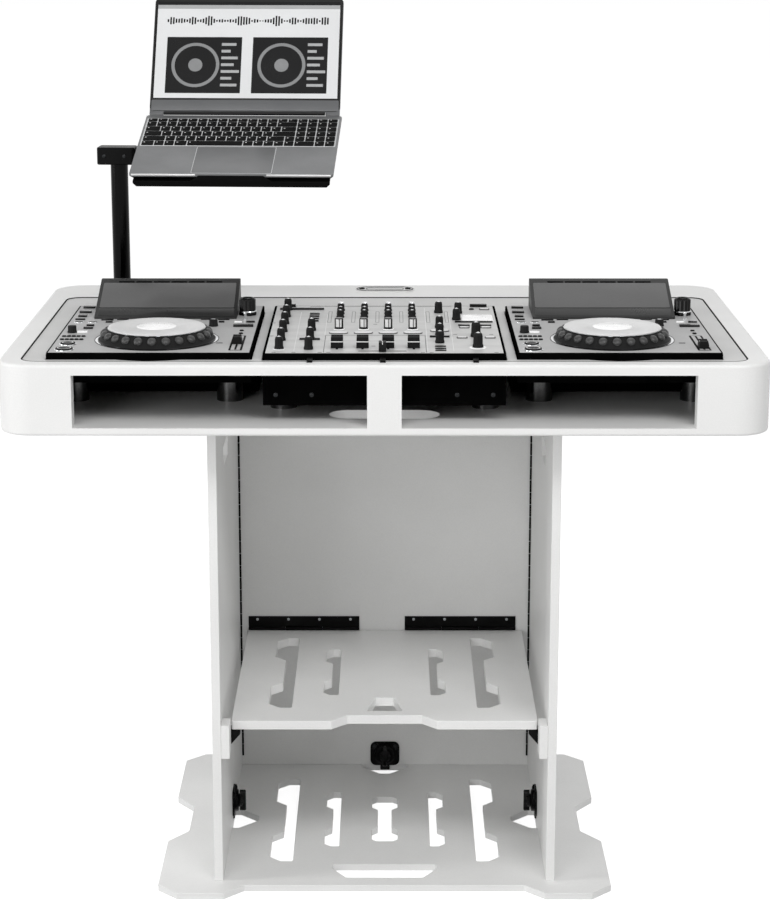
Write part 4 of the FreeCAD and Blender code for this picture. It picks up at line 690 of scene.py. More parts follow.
vent = moulded([(0, -0.4), (0, 0.12), (0.2, 0.2)], 28, 4.6, 1.6)
# Float glass over an unlit display, coated against glare: an even mid grey with a soft reflection.
screen_glass = grained("glass_coated_grey", "#666666", "#626262", 90, 3, 0.002, (0.28, 0.34),
                       Specular_IOR_Level=0.12)
# Tinted polycarbonate over the control strip: darker than the glass, and a little glossier.
strip_plastic = grained("polycarbonate_tinted", "#2c2c2c", "#323232", 60, 2, 0.01, (0.26, 0.38),
                        Specular_IOR_Level=0.15)
dress("booth", "screen_housing",
      ("screen_housings", housing_plastic, on_players(wedge, (0, 0)), "player_screens"), sharp=HOUSING_SHARP)
dress("booth", "screen_housing",
      ("screen_glasses", screen_glass, on_slopes(glass, [(0, GLASS_UP)])),
      ("screen_strips", strip_plastic, on_slopes(strip, [(0, STRIP_UP)])),
      # Painted shade: the vents are flat black patches standing in for the dark inside the slots.
      ("screen_vents", recess_shade_black, on_slopes(vent, [(VENT_PITCH * (k - 2.5), VENT_UP) for k in range(6)])))
print("screen slope: %.1f mm long" % SLOPE_LENGTH)

# %% [markdown]
# ## The players' small controls
#
# Buttons are low moulded bars, dots are shallow domes, and the small knobs are turned with flutes for the
# fingers. All of one finish go into one piece, because they are fixed to the same plate.

# %% Bars, dots, ovals and knobs
BAR_CORNER, BAR_EDGE = 1.2, 0.5
# (across, back, width, depth, height)
DARK_BARS = (
    (-144.2, 411, 21, 11, 3.4), (-145.2, 364, 21, 11, 3.4), (-145.6, 326, 15, 13, 3), (-146, 294, 17, 5, 2.6),
    (-121.5, 236, 13, 7, 3), (-122, 212, 16, 8, 3), (-98.7, 290, 21, 5, 2.6), (-93.2, 268, 12, 5, 2.6),
    (-72.5, 294, 20, 5, 2.6), (72, 296, 20, 5, 2.6), (101.5, 294, 20, 5, 2.6), (99.3, 270, 10, 5, 2.6),
    (149, 270, 15, 6, 2.6), (139, 233, 34, 12, 3.4), (108.5, 82, 11, 4, 0.6))
WHITE_BARS = ((-127.9, 178, 17, 9, 2), (127.7, 272, 13, 7, 1.8))
OVALS = ((-145, 268), (-121.5, 268))
DOTS = [(-153.2 + 8 * k, back) for back in (139, 111) for k in range(5)] + [(138.7, 190), (138.9, 164)]
KNOBS = ((-144.6, 176), (88, 236))


def bars(rows, set_down):
    """Low bars from rows of (across, back, width, depth, height), set down on a plate."""
    return [copy for across, back, *size in rows
            for copy in set_down(bar(*size, BAR_CORNER, BAR_EDGE), (across, back))]


knob_skirt = turned([(8, 0), (8, 2), (7.4, 3), (7.1, 10.6), (6.5, 11.9), (5, 12.2)], 48, 12, 0.08)
knob_cap = turned([(3.6, 12), (3.6, 12.3), (3.2, 12.5), (1, 12.5)], 32)
dot = turned([(3.7, 0), (3.7, 1.4), (3, 2.2), (1, 2.5)], 16)
oval_ring, oval_button = bar(17, 10, 1, 5, 0.4), bar(13.4, 6.6, 1.8, 3.3, 0.5)
dress("booth", "button",
      ("player_dark_bars", gloss_black, bars(DARK_BARS, on_players), "player_small_controls"),
      # The white bars' glow is painted light.
      ("player_white_bars", white_acrylic, bars(WHITE_BARS, on_players)),
      ("player_oval_rings", chrome, on_players(oval_ring, OVALS)),
      ("player_dots", gloss_black, on_players(oval_button, OVALS) + on_players(dot, DOTS)))
dress("booth", "knob", ("player_knobs", soft_black, on_players(knob_skirt, KNOBS)),
      ("player_knob_caps", chrome, on_players(knob_cap, KNOBS[1:])))
print("bars on each player:", len(DARK_BARS) + len(WHITE_BARS), "dots:", len(DOTS))

# %% Cue and play buttons
PRESSED = ("left_cue", "left_play", "right_cue", "right_play")
for body in PRESSED:
    spot, (wide, _, h) = seat(body + "_button", PLATE_TOP)
    r = wide / 2
    collar = turned([(r + 0.4, -0.2), (r + 2.6, -0.2), (r + 2.4, 0.9), (r + 1.2, 1.2), (r + 0.5, 0.8)], 64)
    cap = turned([(r, -1.2), (r, h - 0.9), (r - 0.7, h - 0.2), (r - 1.6, h), (r - 2.2, h - 0.3)], 64)
    inlay = turned([(r - 2.4, h - 0.6), (r - 2.6, h - 0.1), (r - 3.6, h - 0.2), (r - 6, h - 0.6)], 64)
    dress("booth", "button", (body + "_collar", chrome, placed(collar, spot)))
    dress(body, "button", (body + "_cap", soft_black, placed(cap, spot), body + "_button"),
          (body + "_inlay", platter_metal, placed(inlay, spot)))
print("cue and play buttons:", len(PRESSED))

# %% [markdown]
# ## Fader caps and browse knobs
#
# A fader cap is a moulded block whose sides lean in, with ribs across it for the fingertip and a white line
# at its middle. The ribs come from the profile itself: its height rises and falls along the cap. The browse
# knob is a tall fluted drum with a plated band and a gloss crown.

# %% Fader cap
RIB_DEPTH, HOLLOW_DEPTH, HOLLOW_HALF, END_DROP, END_SHARE = 0.7, 1.6, 0.22, 0.9, 0.14
SHOULDER, FADER_SHARP = 0.45, 30


def fader_cap(width, depth, height, ribs=7, waist=1.6):
    """Loops carried along the cap's depth: each is a six-pointed section, narrower at the top by the waist;
    the top's height is h - 0.7 |sin(pi ribs u)|, less a round hollow at the middle and a fall at the ends."""
    u = np.linspace(0.0, 1.0, ribs * 8 + 1)
    ribbed = RIB_DEPTH * np.abs(np.sin(np.pi * ribs * u))
    hollow = HOLLOW_DEPTH * np.clip(1.0 - ((u - 0.5) / HOLLOW_HALF) ** 2, 0.0, 1.0)
    fall = END_DROP * np.clip(np.abs(u - 0.5) * 2 - (1 - END_SHARE), 0.0, 1.0) / END_SHARE
    top = height - ribbed - hollow - fall
    half, upper = width / 2, width / 2 - waist
    x = np.array((-half, half, half, upper, -upper, -half))
    z = np.stack((0 * u, 0 * u, SHOULDER * top, top, top, SHOULDER * top), -1)
    y = ((0.5 - u) * depth)[:, None]
    return skin(np.stack(np.broadcast_arrays(x, y, z), -1))


def cap_line(width, height):
    """A thin white strip over the cap's hollow."""
    return bar(width - 2.4, 1.2, height - 1.3, 0.3, 0.2)


def dress_fader(body, node, cap, line):
    """A fader's cap and its white line, which ride the fader's own body."""
    dress(body, "knob", (body + "_cap", soft_black, cap, node), sharp=FADER_SHARP)
    dress(body, "knob", (body + "_line", pale_ink, line))


# %% Tempo faders
TEMPO_SLOT, TEMPO_LIFT = (137.9, 83.5), 0.9
tempo_well = moulded([(0, -0.3), (0, 0.05), (0.3, 0.25)], 22, 128, 2)
tempo_floor = moulded([(0, -0.3), (0, 0.32), (0.2, 0.36)], 15, 122, 1)
tempo_slot = moulded([(0, -0.3), (0, 0.40), (0.2, 0.42)], 3.4, 119, 1.5)
for side in SIDES:
    tempo = side + "_tempo"
    base, size = seat(tempo + "_fader", PLATE_TOP + TEMPO_LIFT)
    line = placed(cap_line(size[0], size[2]), base)
    dress_fader(tempo, tempo + "_fader", placed(fader_cap(*size), base), line)
# Painted shade: the well's black border and the slot stand in for the dark of the recess.
dress("booth", "gear_face", ("tempo_wells", recess_shade_black, on_players(tempo_well, TEMPO_SLOT)),
      ("tempo_floors", player_paint, on_players(tempo_floor, TEMPO_SLOT)),
      ("tempo_slots", recess_shade_black, on_players(tempo_slot, TEMPO_SLOT)))
print("tempo caps:", len(SIDES))

# %% Browse knobs and the levers in front of them
LEVER_PLACE = (138.5, 296)
lever = turned([(4.4, 0), (4.4, 1.4), (2.8, 2.2), (2.4, 10), (3.4, 11.6), (3.2, 13.2), (1.4, 14)], 24)
for side in SIDES:
    browse = side + "_browse"
    spot, (wide, _, h) = seat(browse + "_knob")
    r = wide / 2
    drum = turned([(r, 0), (r, 4.5), (r - 0.8, 5.6), (r - 1.2, 6.4), (r - 1, h - 4), (r - 1.6, h - 2.4),
                   (r - 3.2, h - 1.8)], 80, 8, 0.12)
    band = turned([(r - 0.6, 5.6), (r - 0.2, 6.2), (r - 0.6, 7.4), (r - 2, 7.8)], 64)
    crown = turned([(r - 3.6, h - 2.6), (r - 3.4, h - 1.2), (r - 4.4, h - 0.2), (r - 6.4, h - 0.8),
                    (r - 6.6, h - 2.2)], 64)
    dress(browse, "knob", (browse + "_drum", gloss_black, placed(drum, spot), browse + "_knob"),
          sharp=ROUND_SHARP)
    dress(browse, "knob", (browse + "_band", chrome, placed(band, spot)),
          (browse + "_crown", gloss_black, placed(crown, spot)))
    dress("booth", "knob", (side + "_lever", chrome, placed(lever, spots(PLAYER_STARTS[side], LEVER_PLACE))))
print("browse knobs:", len(SIDES))

# %% [markdown]
# ## Mixer
#
# The mixer's plate is paler than the players'. Its knobs stand in columns: microphone, effects, four
# channels and the master. Places are (across, back) from the middle of the mixer's front edge.

# %% Mixer plate and its printed lines
MIXER_WIDTH, MIXER_DEPTH, _ = seat("mixer_case")[1]
MIXER_TOP = extent("mixer_faceplate")[1][2]
MIXER_START = seat("mixer_case", MIXER_TOP)[0] - (0, MIXER_DEPTH / 2, 0)


def on_mixer(surface, places):
    """The surface at each (across, back) of the mixer's plate."""
    return placed(surface, spots(MIXER_START, places))


def ruled(width, depth):
    """A printed line: a strip only 0.12 mm thick."""
    return moulded([(0, -0.1), (0, 0.12)], width, depth, 0.1, 2)


CHANNELS = (-77, -35.5, 6, 47.5)
FRAME_LEFT, FRAME_RIGHT, FRAME_NEAR, FRAME_FAR = -98, 67.5, 8, 156
METERS, METER_BACK, METER_TALL = (-95, -54, -12.6, 28.8, 75, 107), 328, 104
METER_SIDES, METER_ENDS = (-2.8, 2.8), (-METER_TALL / 2, METER_TALL / 2)
# (across, start, end)
COLUMN_LINES = ((-146, 20, 378), (-99.5, 160, 352), (70, 20, 415), (112, 20, 352))
DASHES = ((-178, 9), (-146, 9), (-104, 9), (-90, 9), (62, 9), (76, 9), (180, 9), (-190, 270), (-188, 150),
          (-16, 258), (-18, 62), (178, 165), (118, 165))
frame_middle = ((FRAME_LEFT + FRAME_RIGHT) / 2, (FRAME_NEAR + FRAME_FAR) / 2)
mixer_middle = (0, MIXER_DEPTH / 2)
mixer_rim = moulded([(0, -2), (0, -0.8), (0.4, -0.4)], MIXER_WIDTH, MIXER_DEPTH, 3)
mixer_plate = moulded([(4.2, -1), (4.2, -0.2), (4.4, 0)], MIXER_WIDTH, MIXER_DEPTH, 4)
dark_lines = [
    *on_mixer(ruled(FRAME_RIGHT - FRAME_LEFT, 1.6), (frame_middle[0], FRAME_FAR)),
    *on_mixer(ruled(1, FRAME_FAR - FRAME_NEAR), [(x, frame_middle[1]) for x in (FRAME_LEFT, FRAME_RIGHT)]),
    *on_mixer(ruled(250, 2), (-7, 432)),
    *on_mixer(ruled(0.7, METER_TALL), [(x + off, METER_BACK) for x in METERS for off in METER_SIDES]),
    *on_mixer(ruled(6.2, 1.2), [(x, METER_BACK + off) for x in METERS for off in METER_ENDS]),
    *on_mixer(ruled(6.5, 3.2), DASHES)]
pale_lines = [copy for x, start, end in COLUMN_LINES
              for copy in on_mixer(ruled(1, end - start), (x, (start + end) / 2))]
dress("booth", "gear_case", ("mixer_rim", case_plastic, on_mixer(mixer_rim, mixer_middle)))
dress("booth", "gear_face",
      ("mixer_plate", mixer_paint, on_mixer(mixer_plate, mixer_middle), "mixer_faceplate"),
      ("mixer_dark_lines", dark_ink, dark_lines), ("mixer_pale_lines", pale_ink, pale_lines))
print("mixer plate: %.0f x %.0f mm, lines:" % (MIXER_WIDTH, MIXER_DEPTH), len(dark_lines) + len(pale_lines))

# %% [markdown]
# ## Knobs
#
# A knob is turned from a profile with a skirt, a waist and a cap, and its grip is fluted. A white pointer
# line runs over the cap towards the back. One profile serves every size: it is written for a radius and a
# height of one and stretched.

# %% Mixer knobs
GRIP = np.array(((1, 0), (1, 0.12), (0.94, 0.20), (0.88, 0.26), (0.84, 0.76), (0.76, 0.90), (0.60, 0.97),
                 (0.36, 0.985)))
CAP = np.array(((0.36, 0.96), (0.38, 0.985), (0.34, 1), (0.10, 1)))
GRIP_SHARP = 42
EQ_ROWS = (390, 357, 324)
# name: (places, radius, height)
KNOB_SETS = {
    "eq": ([(x, y) for x in CHANNELS for y in EQ_ROWS], 7, 13.5),
    "microphone": ([(-170.5, y) for y in (397, 330, 262, 189.6, 112.5, 37.5)], 7.8, 21),
    "send": ([(-122.8, y) for y in (200.6, 118.2, 36.2)], 7.8, 21),
    "master": ([(94.2, 370.4), (92.7, 228), (91.9, 160), (90.7, 92.2), (128.2, 365), (123.6, 302)], 7.8, 20),
    "booth_level": ([(151.7, 145.5), (151.7, 49.8)], 9, 25),
}
grips, knob_caps, pointers = [], [], []
for places, radius, height in KNOB_SETS.values():
    grips += on_mixer(turned(GRIP * (radius, height), 48, 12, 0.09), places)
    knob_caps += on_mixer(turned(CAP * (radius, height), 32), places)
    pointer = bar(radius * 0.14, radius * 0.55, height * 0.03, 0.1, 0.1)
    pointers += on_mixer(placed(pointer, (0, radius * 0.34, height * 0.99))[0], places)
dress("booth", "knob", ("mixer_knob_grips", soft_black, grips, "mixer_knobs"), sharp=GRIP_SHARP)
dress("booth", "knob", ("mixer_knob_caps", chrome, knob_caps), ("mixer_knob_pointers", pale_ink, pointers))
print("mixer knobs:", len(grips))

# %% Channel knobs with painted reflections on their fronts
FRONT_RADIUS, FRONT_THICK, FRONT_LOW, FRONT_HIGH, FRONT_STEPS = 7.45, 0.5, 4.8, 18, 9


def painted_reflection_front(start, end):
    """A pale shell on a knob's front that paints its reflection: a cylinder's arc between two angles off the
    front, in degrees, with loops at its foot and its top."""
    turn = np.radians(np.linspace(start, end, FRONT_STEPS) - 90.0)
    arc = np.stack((np.cos(turn), np.sin(turn)), -1)
    outline = np.concatenate((arc * FRONT_RADIUS, arc[::-1] * (FRONT_RADIUS - FRONT_THICK)))
    return skin(np.stack([np.c_[outline, np.full(len(outline), z)] for z in (FRONT_LOW, FRONT_HIGH)]))


COLOUR_KNOBS, TRIM_KNOBS = [(x, 212) for x in CHANNELS], [(x, 424) for x in CHANNELS]
colour_body = turned([(8, 0), (8, 1.6), (7.4, 2.2), (7.2, 18.2), (6.4, 19.4), (4.6, 19.6)], 48)
colour_base = turned([(9.4, -0.1), (9.4, 0.9), (9, 1.3), (8.2, 1.4)], 48)
trim_knob = turned([(5.6, 0), (5.6, 5), (4.8, 9), (4, 10), (2, 10.2)], 40, 10, 0.06)
level_ring = turned([(9.2, 0), (13.6, 0), (13.2, 0.9), (9.4, 0.9)], 64)
foot_ring = turned([(8, 0), (10.6, 0), (10.2, 0.9), (8.4, 0.9)], 48)
dress("booth", "knob",
      ("channel_colour_knobs", gloss_black, on_mixer(colour_body, COLOUR_KNOBS)),
      # Pale arcs on the gloss black knobs paint the reflections of their plated fronts.
      ("channel_colour_fronts", platter_metal,
       on_mixer(painted_reflection_front(-45, 2), COLOUR_KNOBS) + on_mixer(painted_reflection_front(12, 38), COLOUR_KNOBS)),
      # The white knob bases glow with painted light.
      ("channel_colour_bases", white_acrylic, on_mixer(colour_base, COLOUR_KNOBS)),
      ("channel_trim_knobs", chrome, on_mixer(trim_knob, TRIM_KNOBS)))
# The level ring's glow is painted light.
dress("booth", "button", ("level_ring", white_acrylic, on_mixer(level_ring, KNOB_SETS["booth_level"][0][-1])),
      ("microphone_ring", pale_ink, on_mixer(foot_ring, KNOB_SETS["microphone"][0][-1])))
print("channel knobs:", len(COLOUR_KNOBS) + len(TRIM_KNOBS))

# %% Pads, bars and the display
PADS = [(x, 176) for x in CHANNELS] + [(92.5, 194)]
FRAMED = [(135, 226), (171.5, 226), (128.6, 134), (175, 134), (175.6, 402)]
# (across, back, width, depth, height)
MIXER_BARS = (
    (-167.5, 430, 19, 8, 5), (-146, 402, 78, 8, 3.2), (-122, 353, 17, 9, 2.8), (-122, 331, 17, 9, 2.8),
    (-122, 309, 17, 9, 2.8), (-122, 287, 17, 9, 2.8), (-123.5, 119, 34, 7, 2.8), (91.5, 141, 33, 7, 2.8),
    (91, 58, 18, 6, 1.6), (91, 40, 18, 6, 1.6), (91, 24, 18, 6, 1.6), (166, 430, 30, 8, 5),
    (152.8, 277, 65, 6, 2.4), (135, 245, 20, 8, 2), (171.5, 245, 20, 8, 2))
round_button = turned([(4.4, 0), (4.4, 1.4), (3.4, 2.2), (1, 2.4)], 24)
display_spot, display_size = seat("mixer_display")
dress("booth", "button",
      ("mixer_screen", white_acrylic, placed(bar(*display_size, 2, 0.6), display_spot), "mixer_display"),
      ("mixer_white_pads", pale_ink, on_mixer(bar(30, 13, 2.9, 6.5, 0.5), PADS), "mixer_buttons"),
      # A dark rim under each white pad paints the shade line along its foot.
      ("mixer_pad_frames", dark_ink, on_mixer(bar(32, 15, 1.4, 7, 0.3), PADS)),
      ("mixer_dark_bars", gloss_black, bars(MIXER_BARS, on_mixer) + on_mixer(round_button, (153, 402))),
      ("mixer_framed_rings", dark_ink, on_mixer(bar(18, 11, 1.5, 3, 0.4), FRAMED)),
      ("mixer_framed_buttons", pale_ink, on_mixer(bar(14.6, 7.6, 2.3, 2, 0.5), FRAMED)))
print("pads:", len(PADS), "bars:", len(MIXER_BARS))

# %% Channel faders and crossfader
FADER_LIFT, FADER_BACK, FRONT_LINE_UP, FRONT_LINE_OVER = 0.6, 92.6, 9.6, 0.3
QUARTER_TURN = np.array(((0, -1, 0), (1, 0, 0), (0, 0, 1)))
slot_profile = [(0, -0.1), (0, 0.15), (0.3, 0.25)]
cross_base, (cross_wide, cross_deep, cross_tall) = seat("crossfader", MIXER_TOP + FADER_LIFT)
# Painted shade: the fader slots are black strips standing in for the dark inside them.
fader_slots = on_mixer(moulded(slot_profile, 4, 118, 1.9), [(x, FADER_BACK) for x in CHANNELS])
fader_slots += placed(moulded(slot_profile, 78, 4, 1.9), cross_base - (0, 0, FADER_LIFT))
dress("booth", "gear_face", ("mixer_fader_slots", recess_shade_black, fader_slots))
for number in range(1, len(CHANNELS) + 1):
    node = "channel_fader_%d" % number
    base, size = seat(node, MIXER_TOP + FADER_LIFT)
    front_line = bar(size[0] + FRONT_LINE_OVER, size[1] + FRONT_LINE_OVER, 1.4, 0.5, 0.2)
    dress_fader("fader_%d" % number, node, placed(fader_cap(*size, waist=0.5), base),
                placed(cap_line(size[0], size[2]), base) + placed(front_line, base + (0, 0, FRONT_LINE_UP)))
cross_pair = (fader_cap(cross_deep, cross_wide, cross_tall, ribs=5), cap_line(cross_deep, cross_tall))
cross_cap, cross_line = [placed((points @ QUARTER_TURN.T, faces), cross_base) for points, faces in cross_pair]
dress_fader("crossfader", "crossfader", cross_cap, cross_line)
print("fader caps:", len(CHANNELS) + 1)

# %% Clips and screws of the mixer's case
CLIPS, CLIP_FRONT, CASE_SCREW_HEIGHT = (-119.5, -2.5, 146.3), 12.6, 879
clips = placed(bar(9, 25, 4.6, 1, 0.4), [(x, MIXER_START[1] - CLIP_FRONT, DECK_TOP) for x in CLIPS])
case_screw = turned([(3.6, -0.1), (3.6, 0.5), (2.8, 1), (1.5, 1), (1.2, 0.3)], 24)
case_screws = facing_front(case_screw, [(MIXER_START[0] + x, MIXER_START[1], CASE_SCREW_HEIGHT)
                                        for x in (-175, -117, 117, 175)])
dress("booth", "black_steel", ("mixer_front_clips", black_steel, clips))
dress("booth", "gear_case", ("mixer_case_screws", dark_screw, case_screws))
print("clips:", len(clips), "case screws:", len(case_screws))

# %% [markdown]
# ## Laptop stand
#
# A black tube stands on a flange on the back rim. Its arm swivels, and a head on the arm tilts the tray.
# The tray's parts are worked out lying flat, in the arm's own directions, and then turned into place: first
# by the tilt about the arm, then by the arm's swing.

# %% Turning into place
ARM_SWING, TRAY_TILT, LID_LEAN = -3.0, 20.0, 61.0
ARM_AXIS = np.array((-490.0, 305.0, 1192.4))
LID_AXIS_ON_TRAY = np.array((237.0, -4.7, 87.3))
AXIS_X, AXIS_Z = 0, 2


def turn_about(axis, degrees):
    """Rotation matrix about an axis: with p and q the next two axes, p' = p cos a - q sin a and
    q' = p sin a + q cos a."""
    c, s = math.cos(math.radians(degrees)), math.sin(math.radians(degrees))
    p, q = (axis + 1) % 3, (axis + 2) % 3
    matrix = np.eye(3)
    matrix[(p, p, q, q), (p, q, p, q)] = c, -s, s, c
    return matrix


ARM_TURN = turn_about(AXIS_Z, ARM_SWING)
TRAY_TURN = ARM_TURN @ turn_about(AXIS_X, TRAY_TILT)
LID_TURN = ARM_TURN @ turn_about(AXIS_X, LID_LEAN)
LID_AXIS = LID_AXIS_ON_TRAY @ TRAY_TURN.T + ARM_AXIS


def swung(surfaces, turn, axis):
    """Surfaces drawn about a joint as if it lay flat, turned and moved to where they are."""
    return [(points @ turn.T + axis, faces) for points, faces in surfaces]


def on_tray(surface, places):
    """A surface at places on the flat tray, turned and moved to where the tray is."""
    return swung(placed(surface, places), TRAY_TURN, ARM_AXIS)


def on_lid(surface, places):
    """A surface at places on the flat lid, whose hinge line is y = 0, turned and moved to where it is."""
    return swung(placed(surface, places), LID_TURN, LID_AXIS)


print("lid hinge at", np.round(LID_AXIS, 1))

# %% Pole, arm and tray
FLANGE_SCREW_CIRCLE, ARM_HALF_DEPTH, ARM_SCREW_PLACES = 28, 22, (-24, 13)
paint(enamel_tube, "pole")
for node, radius in (("pole_flange", 0.6), ("swivel_arm", 2.4), ("tilt_head", 0.6), ("laptop_tray", 0.6)):
    softened(node, black_steel, radius)
flange_top, _ = seat("pole_flange", extent("pole_flange")[1][2])
angle = np.radians((45, 135, 225, 315))
screw_ring = flange_top + FLANGE_SCREW_CIRCLE * np.c_[np.cos(angle), np.sin(angle), 0 * angle]
flange_screw = turned([(3.6, -0.2), (3.6, 0.6), (2.8, 1.4), (1.6, 1.7), (1.4, 0.9)], 20)
arm_screw = turned([(3.4, -0.2), (3.4, 0.8), (2.4, 1.3), (1.2, 1.3), (1, 0.6)], 20)
arm_screws = facing_front(arm_screw, [(x, -ARM_HALF_DEPTH, 0) for x in ARM_SCREW_PLACES])
dress("booth", "pin_steel", ("flange_screws", plated_steel, placed(flange_screw, screw_ring)))
dress("arm", "pin_steel", ("arm_screws", dark_screw, swung(arm_screws, ARM_TURN, ARM_AXIS)))
print("stand softened, arm screws:", len(arm_screws))

# %% [markdown]
# ## Laptop
#
# The laptop's deck is bead-blasted aluminium with a black tapered underside. Its keys are individual caps on
# a pale frame: a main block of fifteen key widths and a number block of four. Row by row, key widths are
# listed in units, and the arrays give every cap its place.

# %% Laptop finishes
# Aluminium, bead-blasted and anodised: silver grey, darker on the lid's chin, with a soft sheen.
silver_shell = grained("aluminium_blasted_anodised", "#757677", "#6a6b6c", 60, 0.7, 0.015, (0.36, 0.48),
                       Metallic=0.35)
chin_shell = grained("aluminium_blasted_dark", "#5e5f60", "#57585a", 60, 0.7, 0.015, (0.40, 0.52),
                     Metallic=0.3)
# ABS in three guises: dull black painted keys, the pale frame that shows between them, and the black bezel.
key_plastic = grained("abs_painted_key_black", "#030303", "#070707", 14, 0.5, 0.01, (0.46, 0.62),
                      worn=("#202020", 0.3), Specular_IOR_Level=0.04)
well_plastic = grained("abs_moulded_well_pale", "#cfd0d1", "#c2c3c4", 30, 0.8, 0.02, (0.45, 0.60))
bezel_plastic = grained("abs_moulded_bezel_black", "#0b0b0b", "#121212", 40, 0.8, 0.01, (0.30, 0.45),
                        Specular_IOR_Level=0.2)
# A diamond tool runs along the front edge last; its narrow polished line is painted near white as a
# highlight.
cut_edge_highlight = grained("aluminium_diamond_cut_highlight", "#f4f4f4", "#ebebeb", 40, 0.6, 0.005, (0.14, 0.22), Metallic=0.2)
# Frosted glass over a silver backing: a touch darker and smoother than the deck around it.
pad_glass = grained("glass_frosted_silver", "#626364", "#5b5c5d", 50, 0.9, 0.004, (0.28, 0.38), Metallic=0.2)
print("finishes in all:", len(bpy.data.materials))

# %% Laptop base
BASE_WIDTH, BASE_DEPTH, BASE_X, BASE_Y = 356, 236, 237, -126.5
PAD_Y, EDGE_X, EDGE_INSET, STRIP_Y = -188.5, 118, 0.5, -7.6
base_middle, pad_middle = (BASE_X, BASE_Y, 0), (BASE_X, PAD_Y, 0)
edge_places = [(BASE_X + side, BASE_Y - BASE_DEPTH / 2 + EDGE_INSET, 0) for side in (-EDGE_X, EDGE_X)]
shell = moulded([(0.9, 79.6), (0, 80.6), (0, 84.3), (0.3, 85), (1, 85.3)], BASE_WIDTH, BASE_DEPTH, 5, 6)
underside = moulded([(12, 72.9), (8, 73), (2, 78.6), (1.4, 79.8)], BASE_WIDTH, BASE_DEPTH, 5, 6)
front_edge = moulded([(0, 82.6), (0, 84.9), (0.3, 85.2)], 112, 1.8, 0.6)
back_strip = moulded([(0.6, 78.4), (0, 79), (0, 83), (0.4, 83.4)], 350, 4, 1, 3)
pad_groove = moulded([(0, 85), (0, 85.36)], 141.2, 103, 3)
pad = moulded([(0, 85), (0, 85.4), (0.4, 85.5)], 139.2, 101.4, 2.4)
dress("tray", "laptop_shell",
      ("laptop_shell", silver_shell, on_tray(shell, base_middle), "laptop_base"),
      ("laptop_underside", bezel_plastic, on_tray(underside, base_middle)),
      # The front edge's near white is a painted highlight.
      ("laptop_front_edge", cut_edge_highlight, on_tray(front_edge, edge_places)),
      ("laptop_back_strip", silver_shell, on_tray(back_strip, (BASE_X, STRIP_Y, 0))))
dress("tray", "laptop_keys", ("laptop_trackpad_groove", well_plastic, on_tray(pad_groove, pad_middle)),
      ("laptop_trackpad", pad_glass, on_tray(pad, pad_middle)))
print("laptop base: %d x %d mm" % (BASE_WIDTH, BASE_DEPTH))

# %% Keys
KEY_FIELD_WIDTH, KEY_FIELD_DEPTH, KEY_FIELD_BACK, KEY_UNITS = 345.0, 110.0, -23.5, 19
KEY_TOP, KEY_GAP, WELL_MARGIN, LEGEND_ACROSS, LEGEND_DOWN = 86.3, 1.7, 3, 0.3, 0.36
KEY_ROWS = (
    [1] * 19,
    [1] * 13 + [2] + [1] * 4,
    [1.5] + [1] * 12 + [1.5] + [1] * 4,
    [1.75] + [1] * 11 + [2.25] + [1] * 4,
    [2.25] + [1] * 10 + [1.75] + [1] * 5,
    [1.25, 1, 1, 1.25, 5.5] + [1] * 5 + [2, 1, 1])
ROW_SHARES = np.array([0.7] + [1.06] * 5)
ROW_DEPTHS = ROW_SHARES / ROW_SHARES.sum() * KEY_FIELD_DEPTH
unit = KEY_FIELD_WIDTH / KEY_UNITS
legend = moulded([(0, -0.1), (0, 0.05)], 2.6, 2, 0.3, 2)
keys, legends = [], []
for row, (widths, deep) in enumerate(zip(KEY_ROWS, ROW_DEPTHS)):
    ends = np.cumsum([0.0] + widths) * unit - KEY_FIELD_WIDTH / 2 + BASE_X
    back = KEY_FIELD_BACK - ROW_DEPTHS[:row].sum()
    for start, end in zip(ends[:-1], ends[1:]):
        cap = moulded([(0, 84.6), (0, 85.7), (0.5, KEY_TOP)], end - start - KEY_GAP, deep - KEY_GAP, 1.6, 3)
        keys += on_tray(cap, ((start + end) / 2, back - deep / 2, 0))
        legends += on_tray(legend, (start + LEGEND_ACROSS * unit, back - LEGEND_DOWN * deep, KEY_TOP))
well = moulded([(0, 85), (0, 85.35), (0.3, 85.45)], KEY_FIELD_WIDTH + WELL_MARGIN,
               KEY_FIELD_DEPTH + WELL_MARGIN, 2.5)
well_middle = (BASE_X, KEY_FIELD_BACK - KEY_FIELD_DEPTH / 2, 0)
dress("tray", "laptop_keys", ("laptop_keys", key_plastic, keys, "laptop_keys_and_trackpad"),
      ("laptop_legends", pale_ink, legends), ("laptop_key_well", well_plastic, on_tray(well, well_middle)))
print("keys:", len(keys))

# %% Laptop lid
LID_WIDTH, LID_DEPTH, BARREL_SIDES = 348, 226, 24
lid_middle, chin_middle, hinge_places = (0, 117, 0), (0, 16, 0), [(-160.5, 5.5, 0), (160.5, 5.5, 0)]
lid_shell = moulded([(3, -6), (0.8, -5.6), (0, -4.4), (0, -1.4), (0.5, -0.8)], LID_WIDTH, LID_DEPTH, 9, 6)
bezel = moulded([(0.9, -1.6), (0.9, -0.3), (1.3, 0)], LID_WIDTH, LID_DEPTH, 8.5, 6)
chin = moulded([(0, -1), (0, 0.12), (0.2, 0.2)], 342, 21, 2)
hinge_cover = moulded([(0.6, -3.2), (0, -2.8), (0, -0.9), (0.4, -0.6)], 26, 17, 1, 3)
